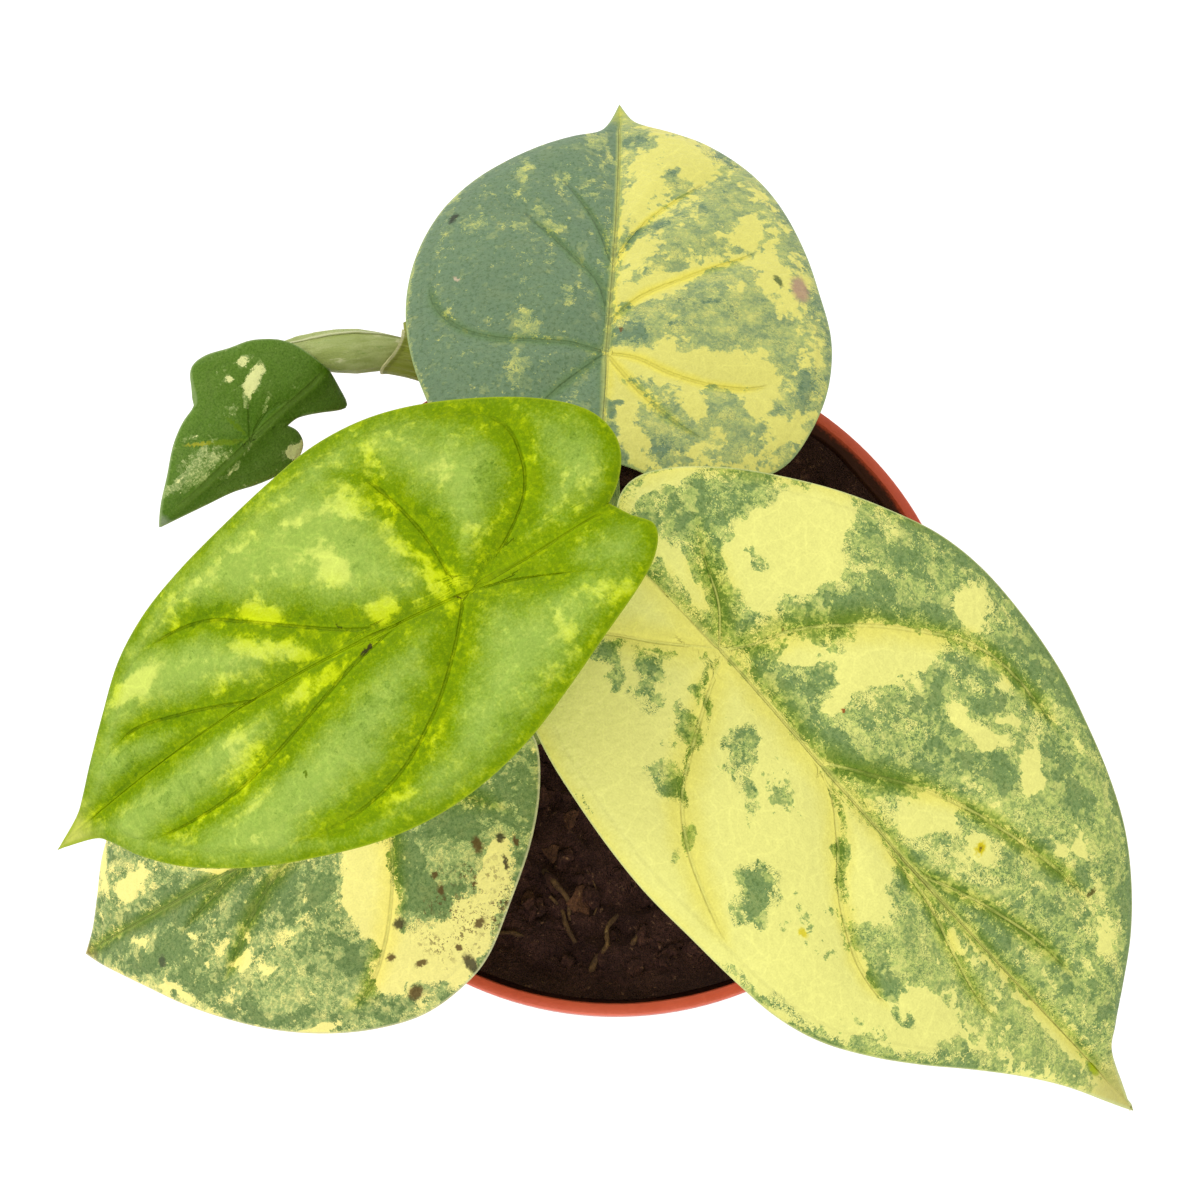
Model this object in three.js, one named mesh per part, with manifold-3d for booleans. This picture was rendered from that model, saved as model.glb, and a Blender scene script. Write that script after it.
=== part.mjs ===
// A potted peltate aroid: a terracotta-coloured nursery pot of soil, four large
// leaves on petioles from one crown, and an offset shoot at the back left with a
// small arrow-shaped leaf and a new leaf still rolled in its sheath.
//
// Millimetres, +Z up. The origin is the middle of the pot's flat underside, and
// -Y is the front, where the low leaf and the right leaf point.
import * as THREE from 'three';
import { mergeVertices } from 'three/addons/utils/BufferGeometryUtils.js';
import Module from 'manifold-3d';

const wasm = await Module();
wasm.setup();

// Driving dimensions
const POT_HEIGHT = 95;
const RIM_RADIUS = 60.3;
const BASE_RADIUS = 42.5;
const WALL = 1.4;
const FLOOR = 2.4;
const RIM_BAND = 7.4;          // height of the thicker band under the lip
const LIP = 2.6;               // width of the lip seen from above
const DRAIN = { count: 8, radius: 4, circle: 29 };

const GAP = 0.3;               // clearance between neighbouring pieces
const SOIL_LEVEL = 87;         // mean height of the soil's surface
const SOIL_BUMP = 1.1;
const ROOTED = 15;             // depth of a stem's hole in the soil

const BLADE = 1.0;             // thickness of the four large blades
const SMALL_BLADE = 0.8;
const RAY_BOW = 0.16;          // how far the blade's grid lines bow sideways
const VEIN_REACH = 4.5;        // distance over which the blade rises from a vein

const GRID = { along: 24, across: 5 };
const SMALL_GRID = { along: 34, across: 3 };
const ROUND = 8;               // sides of a petiole

// Leaves
// Each leaf has its petiole junction in space, its heading (degrees from +X),
// pitch (tip down) and roll, and its bending in degrees per 100 mm: droop ahead
// of the junction, rear behind it, curl across each half from an upward fold
// along the midrib. bow is the midrib's sideways curve and puff the rise of the
// blade between its veins. Outlines run from the sinus to the tip, and veins
// from the midrib outwards, as [u, v] in the flat blade: u towards the tip and
// v to the left looking at the tip, both from the junction.
const LEAVES = {
  back: {
    junction: [-2.4, 41.4, 133], heading: 89, pitch: 23, roll: 0,
    droop: 18, rear: 30, fold: [3, 3], curl: [40, 40], bow: -0.6, puff: 0.9, thick: BLADE,
    left: [[-22, 0], [-25, 5], [-27.5, 12], [-25.5, 19.5], [-19, 25], [-10.5, 28.6], [-1, 31.8], [9, 33.8],
      [19.2, 34.3], [30, 33.1], [40.5, 30.1], [49, 25.5], [55.6, 20], [61, 14.1], [64.8, 8.4], [67.2, 3.6],
      [71.5, 1.5], [80, 0]],
    right: [[-22, 0], [-24, -5], [-27, -12], [-26.5, -21], [-21.5, -29], [-13.5, -33.5], [-3, -36.6], [9, -37.4],
      [21.4, -35.5], [31.8, -33.4], [42.5, -30.2], [51, -26.5], [57.8, -22], [64, -16], [67.7, -10], [70.2, -5],
      [73.2, -2.2], [80, 0]],
    veins: [
      [[0, 0], [2, 6], [2.5, 12], [3, 18], [5.5, 24], [11, 28.5], [18, 30.3], [26, 30]],
      [[10, 0], [18, 2], [24, 6], [30, 10], [36, 14.5], [43, 19]],
      [[24, 0], [35, 3], [46, 8], [54, 13]],
      [[0, 0], [-1, -5], [-4.5, -11], [-6.5, -18], [-6, -25], [-1, -32]],
      [[7, 0], [14, -5], [20, -13], [27, -23], [34, -30]],
      [[22, 0], [34, -5], [45, -13], [54, -21]],
      [[0, 0], [-8, 7], [-16, 13], [-22, 20]],
      [[0, 0], [-9, -6], [-17, -14], [-20, -22]],
    ],
  },
  left: {
    junction: [-21.6, -11.9, 169], heading: 209, pitch: 12, roll: -8,
    droop: 30, rear: 25, fold: [6, 6], curl: [45, 45], bow: -2.6, puff: 1.6, thick: BLADE,
    left: [[-24, -1.3], [-26, 2], [-28.3, 5], [-26.5, 8.4], [-22, 11.5], [-14, 15.4], [-5.3, 19.6], [3, 23],
      [12, 25.1], [21, 25.6], [30, 24.4], [38.5, 21.9], [46, 19.1], [52.5, 15.9], [58.5, 12.2], [63.5, 7.8],
      [67, 3.6], [69.8, 1.5], [77, 0]],
    right: [[-24, -1.3], [-26.8, -3.4], [-29.2, -6.7], [-29.7, -10.5], [-28, -14.7], [-23.5, -19], [-17, -23.2],
      [-9, -27], [0, -29.7], [9, -30.3], [17.5, -29], [27, -27], [36.2, -24.8], [44.2, -22.2], [51.3, -18.4],
      [57.6, -13.2], [63.3, -8.3], [67.8, -4.4], [71, -2.2], [77, 0]],
    veins: [
      [[1, 1], [5, 6], [10, 11], [14, 14], [19, 17], [25, 19], [33, 19.6], [43, 17.5]],
      [[11, -1], [20, 1], [28, 3.6], [38, 6.6], [47, 8], [58, 7.4], [64, 4.5]],
      [[1, -2], [1, -9], [2.5, -16], [5, -22], [10, -26]],
      [[13, -2], [18, -4.4], [24, -8.4], [31, -13.4], [36, -16.4], [43, -17.6], [51, -16.5]],
      [[36, -3], [46, -6.5], [55, -8.5], [63, -6]],
      [[-1, 0], [-5, -2], [-9, -4], [-14, -8], [-16.5, -13], [-16.5, -19], [-11, -24.3], [-3, -26.6]],
      [[0, 0], [-7, 2], [-14, 5], [-20, 8]],
    ],
  },
  right: {
    junction: [15.7, -13.5, 149], heading: -41.8, pitch: 12, roll: 0,
    droop: 28, rear: 30, fold: [8, 8], curl: [45, 45], bow: -2.4, puff: 1.1, thick: BLADE,
    left: [[-18.5, 0.5], [-22.5, 2.5], [-26.4, 5.6], [-27.3, 10], [-24.5, 15.2], [-18, 21.6], [-10.9, 26.7],
      [-3.5, 31.2], [4, 34.8], [12.3, 38], [21.1, 39.3], [31.3, 38.8], [41.3, 37.2], [50.2, 34.5], [58.4, 31.6],
      [66.3, 27.9], [73.2, 23.1], [79.5, 17.4], [84.8, 11.1], [89, 6], [93, 2.4], [104.3, -0.3]],
    right: [[-18.5, 0.5], [-23, -2.5], [-27, -6], [-28, -11], [-26, -17], [-21.5, -22.5], [-15, -27], [-7.9, -30],
      [0, -32], [8.6, -33.6], [17, -34.5], [26, -34.5], [35, -34.3], [44.2, -33.5], [52.2, -31.2], [60, -27],
      [67, -22.2], [74, -16.8], [81.2, -11.7], [87.7, -7.7], [94.1, -4.5], [104.3, -0.3]],
    veins: [
      [[0, 0], [3, 4], [6, 10], [10, 15], [15, 20], [20, 24], [26, 28.2], [33, 30.3], [42, 30.2], [53, 28.5]],
      [[23, -1], [29, 2.4], [35, 6], [41, 9], [48, 11.4], [57, 13.6], [66, 15], [75, 14.5]],
      [[46, -2], [58, 2.4], [70, 5.2], [82, 5.5]],
      [[1, -1], [4, -8], [7, -14], [10.5, -20], [15.5, -24.6], [22, -28], [30, -30.8], [38, -31.3]],
      [[14, -1], [23, -2.2], [28, -4.2], [33, -8.4], [38, -13.4], [43.5, -17], [50, -19.6], [62, -20.8]],
      [[41, -3.5], [50, -4.3], [58, -6.6], [67, -8.6], [77, -8.6]],
      [[0, 0], [-5, 5], [-12, 9], [-18, 14]],
      [[0, 0], [-7, -6], [-15, -12], [-19, -18]],
    ],
  },
  low: {
    junction: [-36.7, -26.2, 113], heading: 201.9, pitch: 24, roll: 0,
    droop: 25, rear: 20, fold: [4, 4], curl: [40, 40], bow: 0.8, puff: 0.8, thick: BLADE,
    left: [[-20, -4], [-24, -0.5], [-26.3, 4.5], [-24, 12], [-19.5, 19.1], [-13, 26], [-5.7, 32.6], [1, 35.5],
      [9, 36.7], [18, 35.4], [27, 32.4], [36, 27.9], [44.6, 22.2], [51.4, 16.9], [57.6, 11.3], [63, 6.5],
      [66.4, 3.5], [70.1, 0]],
    right: [[-20, -4], [-25, -7], [-27.5, -12], [-25.5, -18.5], [-20.5, -24.5], [-13, -29.5], [-4, -33], [6, -34.6],
      [16, -34.3], [26, -32.4], [36, -28.9], [45, -24.2], [52, -19.3], [58.3, -13.5], [62.7, -7.3], [66.2, -3],
      [70.1, 0]],
    veins: [
      [[0, 0], [2, 8], [5, 16], [10, 24], [17, 30], [26, 30]],
      [[12, 0.4], [22, 4], [32, 10], [41, 17], [48, 18]],
      [[28, 0.8], [40, 4], [52, 8]],
      [[0, 0], [1, -9], [4, -18], [9, -26], [18, -31]],
      [[12, 0.4], [22, -5], [32, -12], [42, -20]],
      [[0, 0], [-8, 5], [-16, 11], [-20, 16]],
      [[0, 0], [-8, -6], [-17, -13], [-20, -19]],
    ],
  },
  small: {
    junction: [-63.5, 35.4, 109], heading: 223.2, pitch: 12, roll: -20,
    droop: 60, rear: 150, fold: [-35, 0], curl: [0, 0], bow: 0, puff: 0.5, thick: SMALL_BLADE, grid: SMALL_GRID,
    left: [[-6.3, 2.7], [-7.2, 5.3], [-6.4, 8], [-3.3, 9.4], [0.8, 9], [5, 7.3], [8.9, 5], [13.6, 3.2], [18.1, 1.5],
      [22.2, 0]],
    right: [[-6.3, 2.7], [-9.4, 3.1], [-13.1, 5.3], [-18.6, 8.4], [-19, 4], [-18.3, -2], [-16.6, -7.9], [-12.4, -12],
      [-8.1, -13.9], [-4.3, -15.7], [-1.3, -15.8], [0.6, -13.6], [2.5, -10.9], [6.3, -10], [10.1, -8.3],
      [14.6, -5.2], [18.6, -2.7], [22.2, 0]],
    veins: [
      [[1, 0], [4, -4], [7, -7.5]],
      [[0, 0], [-5, -6], [-8, -11]],
      [[0, 0], [-6, -1.5], [-12, 1.5], [-16, 5]],
      [[1, 0], [3, 3], [5, 6]],
    ],
  },
};

// Petioles of the crown
// root is where each stands in the soil; reach sets how far it rises straight
// from the soil and how far it runs straight into the blade.
const PETIOLES = {
  back: { root: [-1, 9], reach: [20, 16] },
  left: { root: [-8, 1.5], reach: [34, 26] },
  right: { root: [2.5, -1], reach: [26, 20] },
  low: { root: [-7.5, -8], reach: [10, 12] },
};
const PETIOLE_RADII = [3.3, 3.4, 2.9, 2.3, 1.9, 1.75];   // from the root to the blade
const GROOVE = 0.24;           // depth of the channel, as a share of the radius

// Offset shoot
const SHOOT_ROOT = [-12, 38];
const SHEATH_ROUTE = [[-12.3, 38.5, 92], [-15, 42, 97], [-21, 46.6, 101], [-28, 50.3, 104.2], [-35, 52, 107.2],
  [-40, 52.5, 108.8], [-45, 52.8, 109.6]];
const SHEATH_RADII = [3.6, 3.7, 4, 4, 3.9, 3.9, 4];
const SHEATH_MOUTH = { point: [-40.2, 52.4, 109], normal: [-0.9, 0.42, 0.1] };
const SHEATH_TIP = [[-35.2, 52, 108.3], [-36.9, 55, 109], [-37.9, 57.7, 109.7]];
const SMALL_PETIOLE_ROUTE = [[-29, 50.6, 102.8], [-40, 54.4, 101.2], [-50, 55.6, 100.4], [-57.5, 53.2, 100.6], [-62.5, 45.5, 102]];
const SMALL_PETIOLE_RADII = [1.9, 1.8, 1.7, 1.6, 1.5, 1.1];
const NEW_LEAF_ROUTE = [[-31, 51.3, 105.6], [-38, 52.3, 108.2], [-46, 52.2, 109.2], [-54, 53.2, 106.8], [-60.5, 54.8, 104.5]];
const NEW_LEAF_RADII = [2, 2.3, 2.6, 3.2, 3.7, 3.6, 3.2, 2.2, 0.5];

const COLOURS = {
  pot: 0xc4512f, soil: 0x2b2019,
  back: 0x8fa055, left: 0x8fba36, right: 0xc3ce68, low: 0x82955a, small: 0x3f6a1f,
  petiole: 0x8aa24e, small_petiole: 0x8c9145, new_leaf: 0x9fae72,
};

const radians = THREE.MathUtils.degToRad;
const vector = (list) => new THREE.Vector3(...list);

// Blades
// A point of the flat blade bends along the midrib and then across it.
function bend(leaf, u, v) {
  const k = radians(u >= 0 ? leaf.droop : leaf.rear) / 100 || 1e-7;
  const run = Math.abs(u);
  const slope = -Math.sign(u) * k * run;
  const midX = Math.sign(u) * Math.sin(k * run) / k;
  const midZ = -(1 - Math.cos(k * run)) / k;
  const middle = midrib(leaf, u);
  const side = v >= middle ? 0 : 1;
  const w = Math.abs(v - middle);
  const a = radians(leaf.fold[side]);
  const c = radians(leaf.curl[side]) / 100 || 1e-7;
  const y = (Math.sin(a) - Math.sin(a - c * w)) / c;
  const h = (Math.cos(a - c * w) - Math.cos(a)) / c;
  return new THREE.Vector3(midX - Math.sin(slope) * h, middle + (side ? -y : y), midZ + Math.cos(slope) * h);
}

function midrib(leaf, u) {
  const tip = leaf.left.at(-1)[0];
  return u > 0 && u < tip ? leaf.bow * Math.sin(Math.PI * u / tip) : 0;
}

function distanceToVeins(leaf, u, v) {
  let nearest = Math.abs(v - midrib(leaf, u));
  for (const vein of leaf.veins) {
    for (let i = 1; i < vein.length; i++) {
      const [au, av] = vein[i - 1], [bu, bv] = vein[i];
      const along = ((u - au) * (bu - au) + (v - av) * (bv - av)) / ((bu - au) ** 2 + (bv - av) ** 2);
      const t = THREE.MathUtils.clamp(along, 0, 1);
      nearest = Math.min(nearest, Math.hypot(u - au - t * (bu - au), v - av - t * (bv - av)));
    }
  }
  return nearest;
}

function placeOf(leaf) {
  const turn = new THREE.Euler(radians(leaf.roll), radians(leaf.pitch), radians(leaf.heading), 'ZYX');
  return new THREE.Matrix4().makeRotationFromEuler(turn).setPosition(...leaf.junction);
}

// The blade's upper face at a flat point, with its normal before the relief.
function upper(leaf, u, v, share) {
  const e = 0.05;
  const normal = bend(leaf, u + e, v).sub(bend(leaf, u - e, v))
    .cross(bend(leaf, u, v + e).sub(bend(leaf, u, v - e))).normalize();
  const rise = leaf.puff * (1 - Math.exp(-((distanceToVeins(leaf, u, v) / VEIN_REACH) ** 2))) * (1 - share ** 6);
  return { normal, point: bend(leaf, u, v).addScaledVector(normal, rise) };
}

// A grid line runs from the midrib, or from the junction for the lobes, to the margin.
function rayPoint(leaf, outline, sign, s, t) {
  const tip = leaf.left.at(-1)[0];
  const start = tip * Math.pow(Math.max(0, (s - 0.42) / 0.58), 1.15);
  const from = new THREE.Vector2(start, midrib(leaf, start));
  const to = outline.getPoint(s);
  const bow = RAY_BOW * from.distanceTo(to) * THREE.MathUtils.smoothstep(s, 0, 0.12);
  const control = from.clone().add(to).multiplyScalar(0.5).add(new THREE.Vector2(0, sign * bow));
  return new THREE.QuadraticBezierCurve(from, control, to).getPoint(t);
}

function bladeGeometry(leaf) {
  const positions = [], index = [], numbers = new Map();
  const place = placeOf(leaf);
  const { along, across } = leaf.grid ?? GRID;

  const vertex = (side, i, j, face) => {
    const onMidrib = j === 0 || i === along;
    const key = [i === 0 || onMidrib ? 0 : side, i, i === along ? across : j, face].join();
    const start = Math.max(0, i / along - 0.42);
    const id = j === 0 && start === 0 ? `junction,${face}` : key;
    if (!numbers.has(id)) {
      const outline = new THREE.SplineCurve((side ? leaf.right : leaf.left).map((p) => new THREE.Vector2(...p)));
      const flat = rayPoint(leaf, outline, side ? -1 : 1, i / along, j / across);
      const { point, normal } = upper(leaf, flat.x, flat.y, j / across);
      if (face === 'lower') point.addScaledVector(normal, -leaf.thick);
      numbers.set(id, positions.length / 3);
      positions.push(...point.applyMatrix4(place));
    }
    return numbers.get(id);
  };
  const triangle = (a, b, c, flip) => {
    if (a !== b && b !== c && a !== c) index.push(...(flip ? [a, c, b] : [a, b, c]));
  };
  const quad = (a, b, c, d, flip) => {
    triangle(a, b, c, flip);
    triangle(a, c, d, flip);
  };

  for (const side of [0, 1]) {
    for (let i = 0; i < along; i++) {
      for (let j = 0; j < across; j++) {
        for (const face of ['upper', 'lower']) {
          quad(vertex(side, i, j, face), vertex(side, i + 1, j, face), vertex(side, i + 1, j + 1, face),
            vertex(side, i, j + 1, face), (side === 1) !== (face === 'lower'));
        }
      }
      quad(vertex(side, i, across, 'upper'), vertex(side, i + 1, across, 'upper'),
        vertex(side, i + 1, across, 'lower'), vertex(side, i, across, 'lower'), side === 1);
    }
  }
  const geometry = new THREE.BufferGeometry();
  geometry.setAttribute('position', new THREE.Float32BufferAttribute(positions, 3));
  geometry.setIndex(index);
  geometry.computeVertexNormals();
  return geometry;
}

// Stems
// A closed tapering tube along a curve. shape(t, angle) gives its radius.
function stemGeometry(curve, steps, shape) {
  const frames = curve.computeFrenetFrames(steps, false);
  const positions = [], index = [];
  for (let i = 0; i <= steps; i++) {
    const centre = curve.getPointAt(i / steps);
    for (let k = 0; k < ROUND; k++) {
      const angle = 2 * Math.PI * k / ROUND;
      const r = shape(i / steps, angle);
      const point = centre.clone().addScaledVector(frames.normals[i], r * Math.cos(angle))
        .addScaledVector(frames.binormals[i], r * Math.sin(angle));
      positions.push(...point);
    }
  }
  for (const end of [0, 1]) positions.push(...curve.getPointAt(end));
  const cap = (steps + 1) * ROUND;
  for (let k = 0; k < ROUND; k++) {
    const next = (k + 1) % ROUND;
    for (let i = 0; i < steps; i++) {
      const a = i * ROUND + k, b = i * ROUND + next;
      index.push(a, b, b + ROUND, a, b + ROUND, a + ROUND);
    }
    index.push(cap, next, k, cap + 1, steps * ROUND + k, steps * ROUND + next);
  }
  const geometry = new THREE.BufferGeometry();
  geometry.setAttribute('position', new THREE.Float32BufferAttribute(positions, 3));
  geometry.setIndex(index);
  geometry.computeVertexNormals();
  return geometry;
}

const blend = (values, t) => {
  const at = t * (values.length - 1), i = Math.min(values.length - 2, Math.floor(at));
  return THREE.MathUtils.lerp(values[i], values[i + 1], at - i);
};

// Where a petiole ends: just under the blade, square to it.
function under(leaf, gap = GAP) {
  const { point, normal } = upper(leaf, 0, 0, 0);
  const place = placeOf(leaf);
  const direction = normal.clone().transformDirection(place);
  return { end: point.applyMatrix4(place).addScaledVector(direction, -leaf.thick - gap), direction };
}

function petioleCurve(leaf, { root, reach }) {
  const { end, direction } = under(leaf);
  const base = new THREE.Vector3(...root, SOIL_LEVEL - ROOTED);
  const soil = new THREE.Vector3(...root, SOIL_LEVEL + 2);
  const path = new THREE.CurvePath();
  path.add(new THREE.LineCurve3(base, soil));
  path.add(new THREE.CubicBezierCurve3(soil, soil.clone().add(new THREE.Vector3(0, 0, reach[0])),
    end.clone().addScaledVector(direction, -reach[1]), end));
  return path;
}

function petioleGeometry(leaf, petiole) {
  return stemGeometry(petioleCurve(leaf, petiole), 16, (t, angle) => {
    const channel = Math.exp(-((Math.atan2(Math.sin(angle), Math.cos(angle)) / 0.7) ** 2));
    return blend(PETIOLE_RADII, t) * (1 - GROOVE * channel * Math.sin(Math.PI * Math.min(1, 1.2 * t)));
  });
}

// Joining and cutting
function toSolid(geometry) {
  const bare = geometry.clone();
  bare.deleteAttribute('normal');
  bare.deleteAttribute('uv');
  const merged = mergeVertices(bare, 1e-4);
  return new wasm.Manifold(new wasm.Mesh({
    numProp: 3,
    vertProperties: new Float32Array(merged.attributes.position.array),
    triVerts: new Uint32Array(merged.index.array),
  }));
}

function toGeometry(solid) {
  const mesh = solid.getMesh();
  const geometry = new THREE.BufferGeometry();
  geometry.setAttribute('position', new THREE.Float32BufferAttribute(mesh.vertProperties, 3));
  geometry.setIndex(Array.from(mesh.triVerts));
  geometry.computeVertexNormals();
  return geometry;
}

const upright = (radius, bottom, top, sides = 20) =>
  new THREE.CylinderGeometry(radius, radius, top - bottom, sides).rotateX(Math.PI / 2)
    .translate(0, 0, (top + bottom) / 2);

// Pot
const outerWall = (z) => BASE_RADIUS + (z - 1) * (56.3 - BASE_RADIUS) / 86.6;

function potGeometry() {
  const top = POT_HEIGHT, band = top - RIM_BAND;
  const inner = RIM_RADIUS - LIP;
  const profile = [
    [0, 0], [BASE_RADIUS - 1, 0], [BASE_RADIUS, 1], [outerWall(band), band], [RIM_RADIUS - 1, band + 0.4],
    [RIM_RADIUS - 0.7, band + 1], [RIM_RADIUS, top - 0.4], [RIM_RADIUS - 0.15, top - 0.1], [RIM_RADIUS - 0.5, top],
    [inner + 0.8, top], [inner + 0.2, top - 0.4], [inner, top - 1.1], [inner - 0.6, band + 2.2],
    [outerWall(band) - WALL, band + 0.6], [outerWall(FLOOR) - WALL, FLOOR], [0, FLOOR],
  ].map(([r, z]) => new THREE.Vector2(r, z));
  let pot = toSolid(new THREE.LatheGeometry(profile, 52).rotateX(Math.PI / 2));
  for (let i = 0; i < DRAIN.count; i++) {
    const angle = 2 * Math.PI * (i + 0.5) / DRAIN.count;
    pot = pot.subtract(toSolid(upright(DRAIN.radius, -1, FLOOR + 1, 12)
      .translate(DRAIN.circle * Math.cos(angle), DRAIN.circle * Math.sin(angle), 0)));
  }
  return toGeometry(pot);
}

// Soil
const soilHeight = (x, y) => SOIL_LEVEL + SOIL_BUMP * (Math.sin(0.19 * x + 1.3) * Math.cos(0.23 * y)
  + 0.5 * Math.sin(0.41 * x - 0.37 * y + 2) + 0.35 * Math.cos(0.62 * x + 0.5 * y));

function soilGeometry(holes) {
  const rings = 9, sectors = 40;
  const positions = [], index = [];
  const push = (r, angle, z) => positions.push(r * Math.cos(angle), r * Math.sin(angle), z);
  const edge = outerWall(SOIL_LEVEL) - WALL - GAP;
  push(0, 0, soilHeight(0, 0));
  for (let ring = 1; ring <= rings; ring++) {
    for (let k = 0; k < sectors; k++) {
      const r = edge * ring / rings, angle = 2 * Math.PI * k / sectors;
      const z = ring === rings ? SOIL_LEVEL - 0.6 : soilHeight(r * Math.cos(angle), r * Math.sin(angle));
      push(r, angle, z);
    }
  }
  for (let k = 0; k < sectors; k++) push(outerWall(FLOOR) - WALL - GAP, 2 * Math.PI * k / sectors, FLOOR);
  push(0, 0, FLOOR);
  const at = (ring, k) => 1 + (ring - 1) * sectors + (k % sectors);
  for (let k = 0; k < sectors; k++) {
    index.push(0, at(1, k), at(1, k + 1));
    for (let ring = 1; ring <= rings; ring++) {
      index.push(at(ring, k), at(ring + 1, k), at(ring + 1, k + 1), at(ring, k), at(ring + 1, k + 1), at(ring, k + 1));
    }
    index.push(at(rings + 1, k + 1), at(rings + 1, k), at(rings + 2, 0));
  }
  const geometry = new THREE.BufferGeometry();
  geometry.setAttribute('position', new THREE.Float32BufferAttribute(positions, 3));
  geometry.setIndex(index);
  let soil = toSolid(geometry);

  // Bark chips lie half sunk, at seeded places.
  let seed = 7;
  const random = () => (seed = (seed * 16807) % 2147483647) / 2147483647;
  for (let i = 0; i < 20; i++) {
    const r = 50 * Math.sqrt(random()), angle = 2 * Math.PI * random();
    const x = r * Math.cos(angle), y = r * Math.sin(angle);
    const chip = new THREE.IcosahedronGeometry(1, 0).scale(1.5 + 2 * random(), 1.2 + random(), 0.9 + 0.5 * random())
      .rotateZ(Math.PI * random()).translate(x, y, soilHeight(x, y) + 0.2);
    if (holes.every(([hx, hy, hr]) => Math.hypot(x - hx, y - hy) > hr + 4)) soil = soil.add(toSolid(chip));
  }
  for (const [x, y, r] of holes) {
    soil = soil.subtract(toSolid(upright(r, SOIL_LEVEL - ROOTED, POT_HEIGHT, 16).translate(x, y, 0)));
  }
  return toGeometry(soil);
}

// Offset shoot
function routeCurve(points) {
  return new THREE.CatmullRomCurve3(points.map(vector), false, 'centripetal');
}

function shootGeometry() {
  const [x, y] = SHOOT_ROOT;
  const path = new THREE.CurvePath();
  path.add(new THREE.LineCurve3(new THREE.Vector3(x, y, SOIL_LEVEL - ROOTED), new THREE.Vector3(x, y, SOIL_LEVEL + 1)));
  path.add(routeCurve([[x, y, SOIL_LEVEL + 1], ...SHEATH_ROUTE]));
  let sheath = toSolid(stemGeometry(path, 16, (t) => blend(SHEATH_RADII, t)));
  const mouth = new THREE.BoxGeometry(40, 40, 40).translate(0, 0, 20)
    .applyQuaternion(new THREE.Quaternion().setFromUnitVectors(new THREE.Vector3(0, 0, 1),
      vector(SHEATH_MOUTH.normal).normalize())).translate(...SHEATH_MOUTH.point);
  sheath = sheath.subtract(toSolid(mouth));
  sheath = sheath.add(toSolid(stemGeometry(routeCurve(SHEATH_TIP), 5, (t) => 2.2 - 1.6 * t)));

  const { end, direction } = under(LEAVES.small, 1);
  const approach = [end.clone().addScaledVector(direction, -4), end.clone().addScaledVector(direction, -1), end];
  const route = new THREE.CatmullRomCurve3([...SMALL_PETIOLE_ROUTE.map(vector), ...approach], false, 'centripetal');
  const petiole = toSolid(stemGeometry(route, 22, (t) => blend(SMALL_PETIOLE_RADII, t)));
  const bore = toSolid(stemGeometry(routeCurve(NEW_LEAF_ROUTE), 14, (t) => blend(NEW_LEAF_RADII, t) + GAP + 0.1));
  return toGeometry(sheath.add(petiole).subtract(bore));
}

function newLeafGeometry() {
  return stemGeometry(routeCurve(NEW_LEAF_ROUTE), 14, (t, angle) =>
    blend(NEW_LEAF_RADII, t) * (1.03 - 0.08 * angle / (2 * Math.PI)));
}

// Assembly
const plant = new THREE.Group();
function add(name, geometry, colour, roughness = 0.6) {
  const material = new THREE.MeshStandardMaterial({ color: colour, roughness, metalness: 0 });
  const mesh = new THREE.Mesh(geometry, material);
  mesh.name = name;
  plant.add(mesh);
}

add('pot', potGeometry(), COLOURS.pot, 0.5);
const stemHoles = [...Object.values(PETIOLES).map(({ root }) => [...root, PETIOLE_RADII[1] + 0.4]),
  [...SHOOT_ROOT, SHEATH_RADII[1] + 0.4]];
add('soil', soilGeometry(stemHoles), COLOURS.soil, 0.95);
for (const [name, petiole] of Object.entries(PETIOLES)) {
  add(`${name}_petiole`, petioleGeometry(LEAVES[name], petiole), COLOURS.petiole);
}
add('small_petiole', shootGeometry(), COLOURS.small_petiole);
add('new_leaf', newLeafGeometry(), COLOURS.new_leaf);
for (const name of Object.keys(LEAVES)) {
  add(`${name}_leaf`, bladeGeometry(LEAVES[name]), COLOURS[name], 0.5);
}

export default plant;
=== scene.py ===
# %% [markdown]
# # A variegated aroid in a nursery pot
#
# The construction of this plant comes ready made: the frame holds its pot, soil,
# petioles and blades at their real size. This lesson dresses it. Each blade is
# laid out again far finer, with sunken veins, and gets its own marbled finish;
# the pot, the soil, the petioles and the unfurling leaf follow.

# %% The frame
import math

import bpy
import numpy as np
from mathutils import Matrix, Vector, noise


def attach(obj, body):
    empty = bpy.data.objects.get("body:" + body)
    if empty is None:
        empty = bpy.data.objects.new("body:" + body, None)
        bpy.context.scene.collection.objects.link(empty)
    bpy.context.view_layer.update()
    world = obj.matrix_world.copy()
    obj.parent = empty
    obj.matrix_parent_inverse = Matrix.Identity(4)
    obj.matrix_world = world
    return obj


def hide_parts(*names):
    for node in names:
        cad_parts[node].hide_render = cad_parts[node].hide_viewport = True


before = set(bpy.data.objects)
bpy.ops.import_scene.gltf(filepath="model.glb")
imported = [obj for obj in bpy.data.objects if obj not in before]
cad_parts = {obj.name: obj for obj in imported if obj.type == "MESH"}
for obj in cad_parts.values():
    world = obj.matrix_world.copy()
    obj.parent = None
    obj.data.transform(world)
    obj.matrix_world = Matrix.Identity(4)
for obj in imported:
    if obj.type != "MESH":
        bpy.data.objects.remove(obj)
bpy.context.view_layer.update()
MM = 0.001
print("the frame has", len(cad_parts), "nodes")

# %% [markdown]
# ## Camera
#
# The photograph looks almost straight down on the plant from half a metre, so
# the near rim of the pot is hidden and the blades overlap the soil. The lens and
# the place were worked out from the ellipse of the pot's rim.

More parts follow.
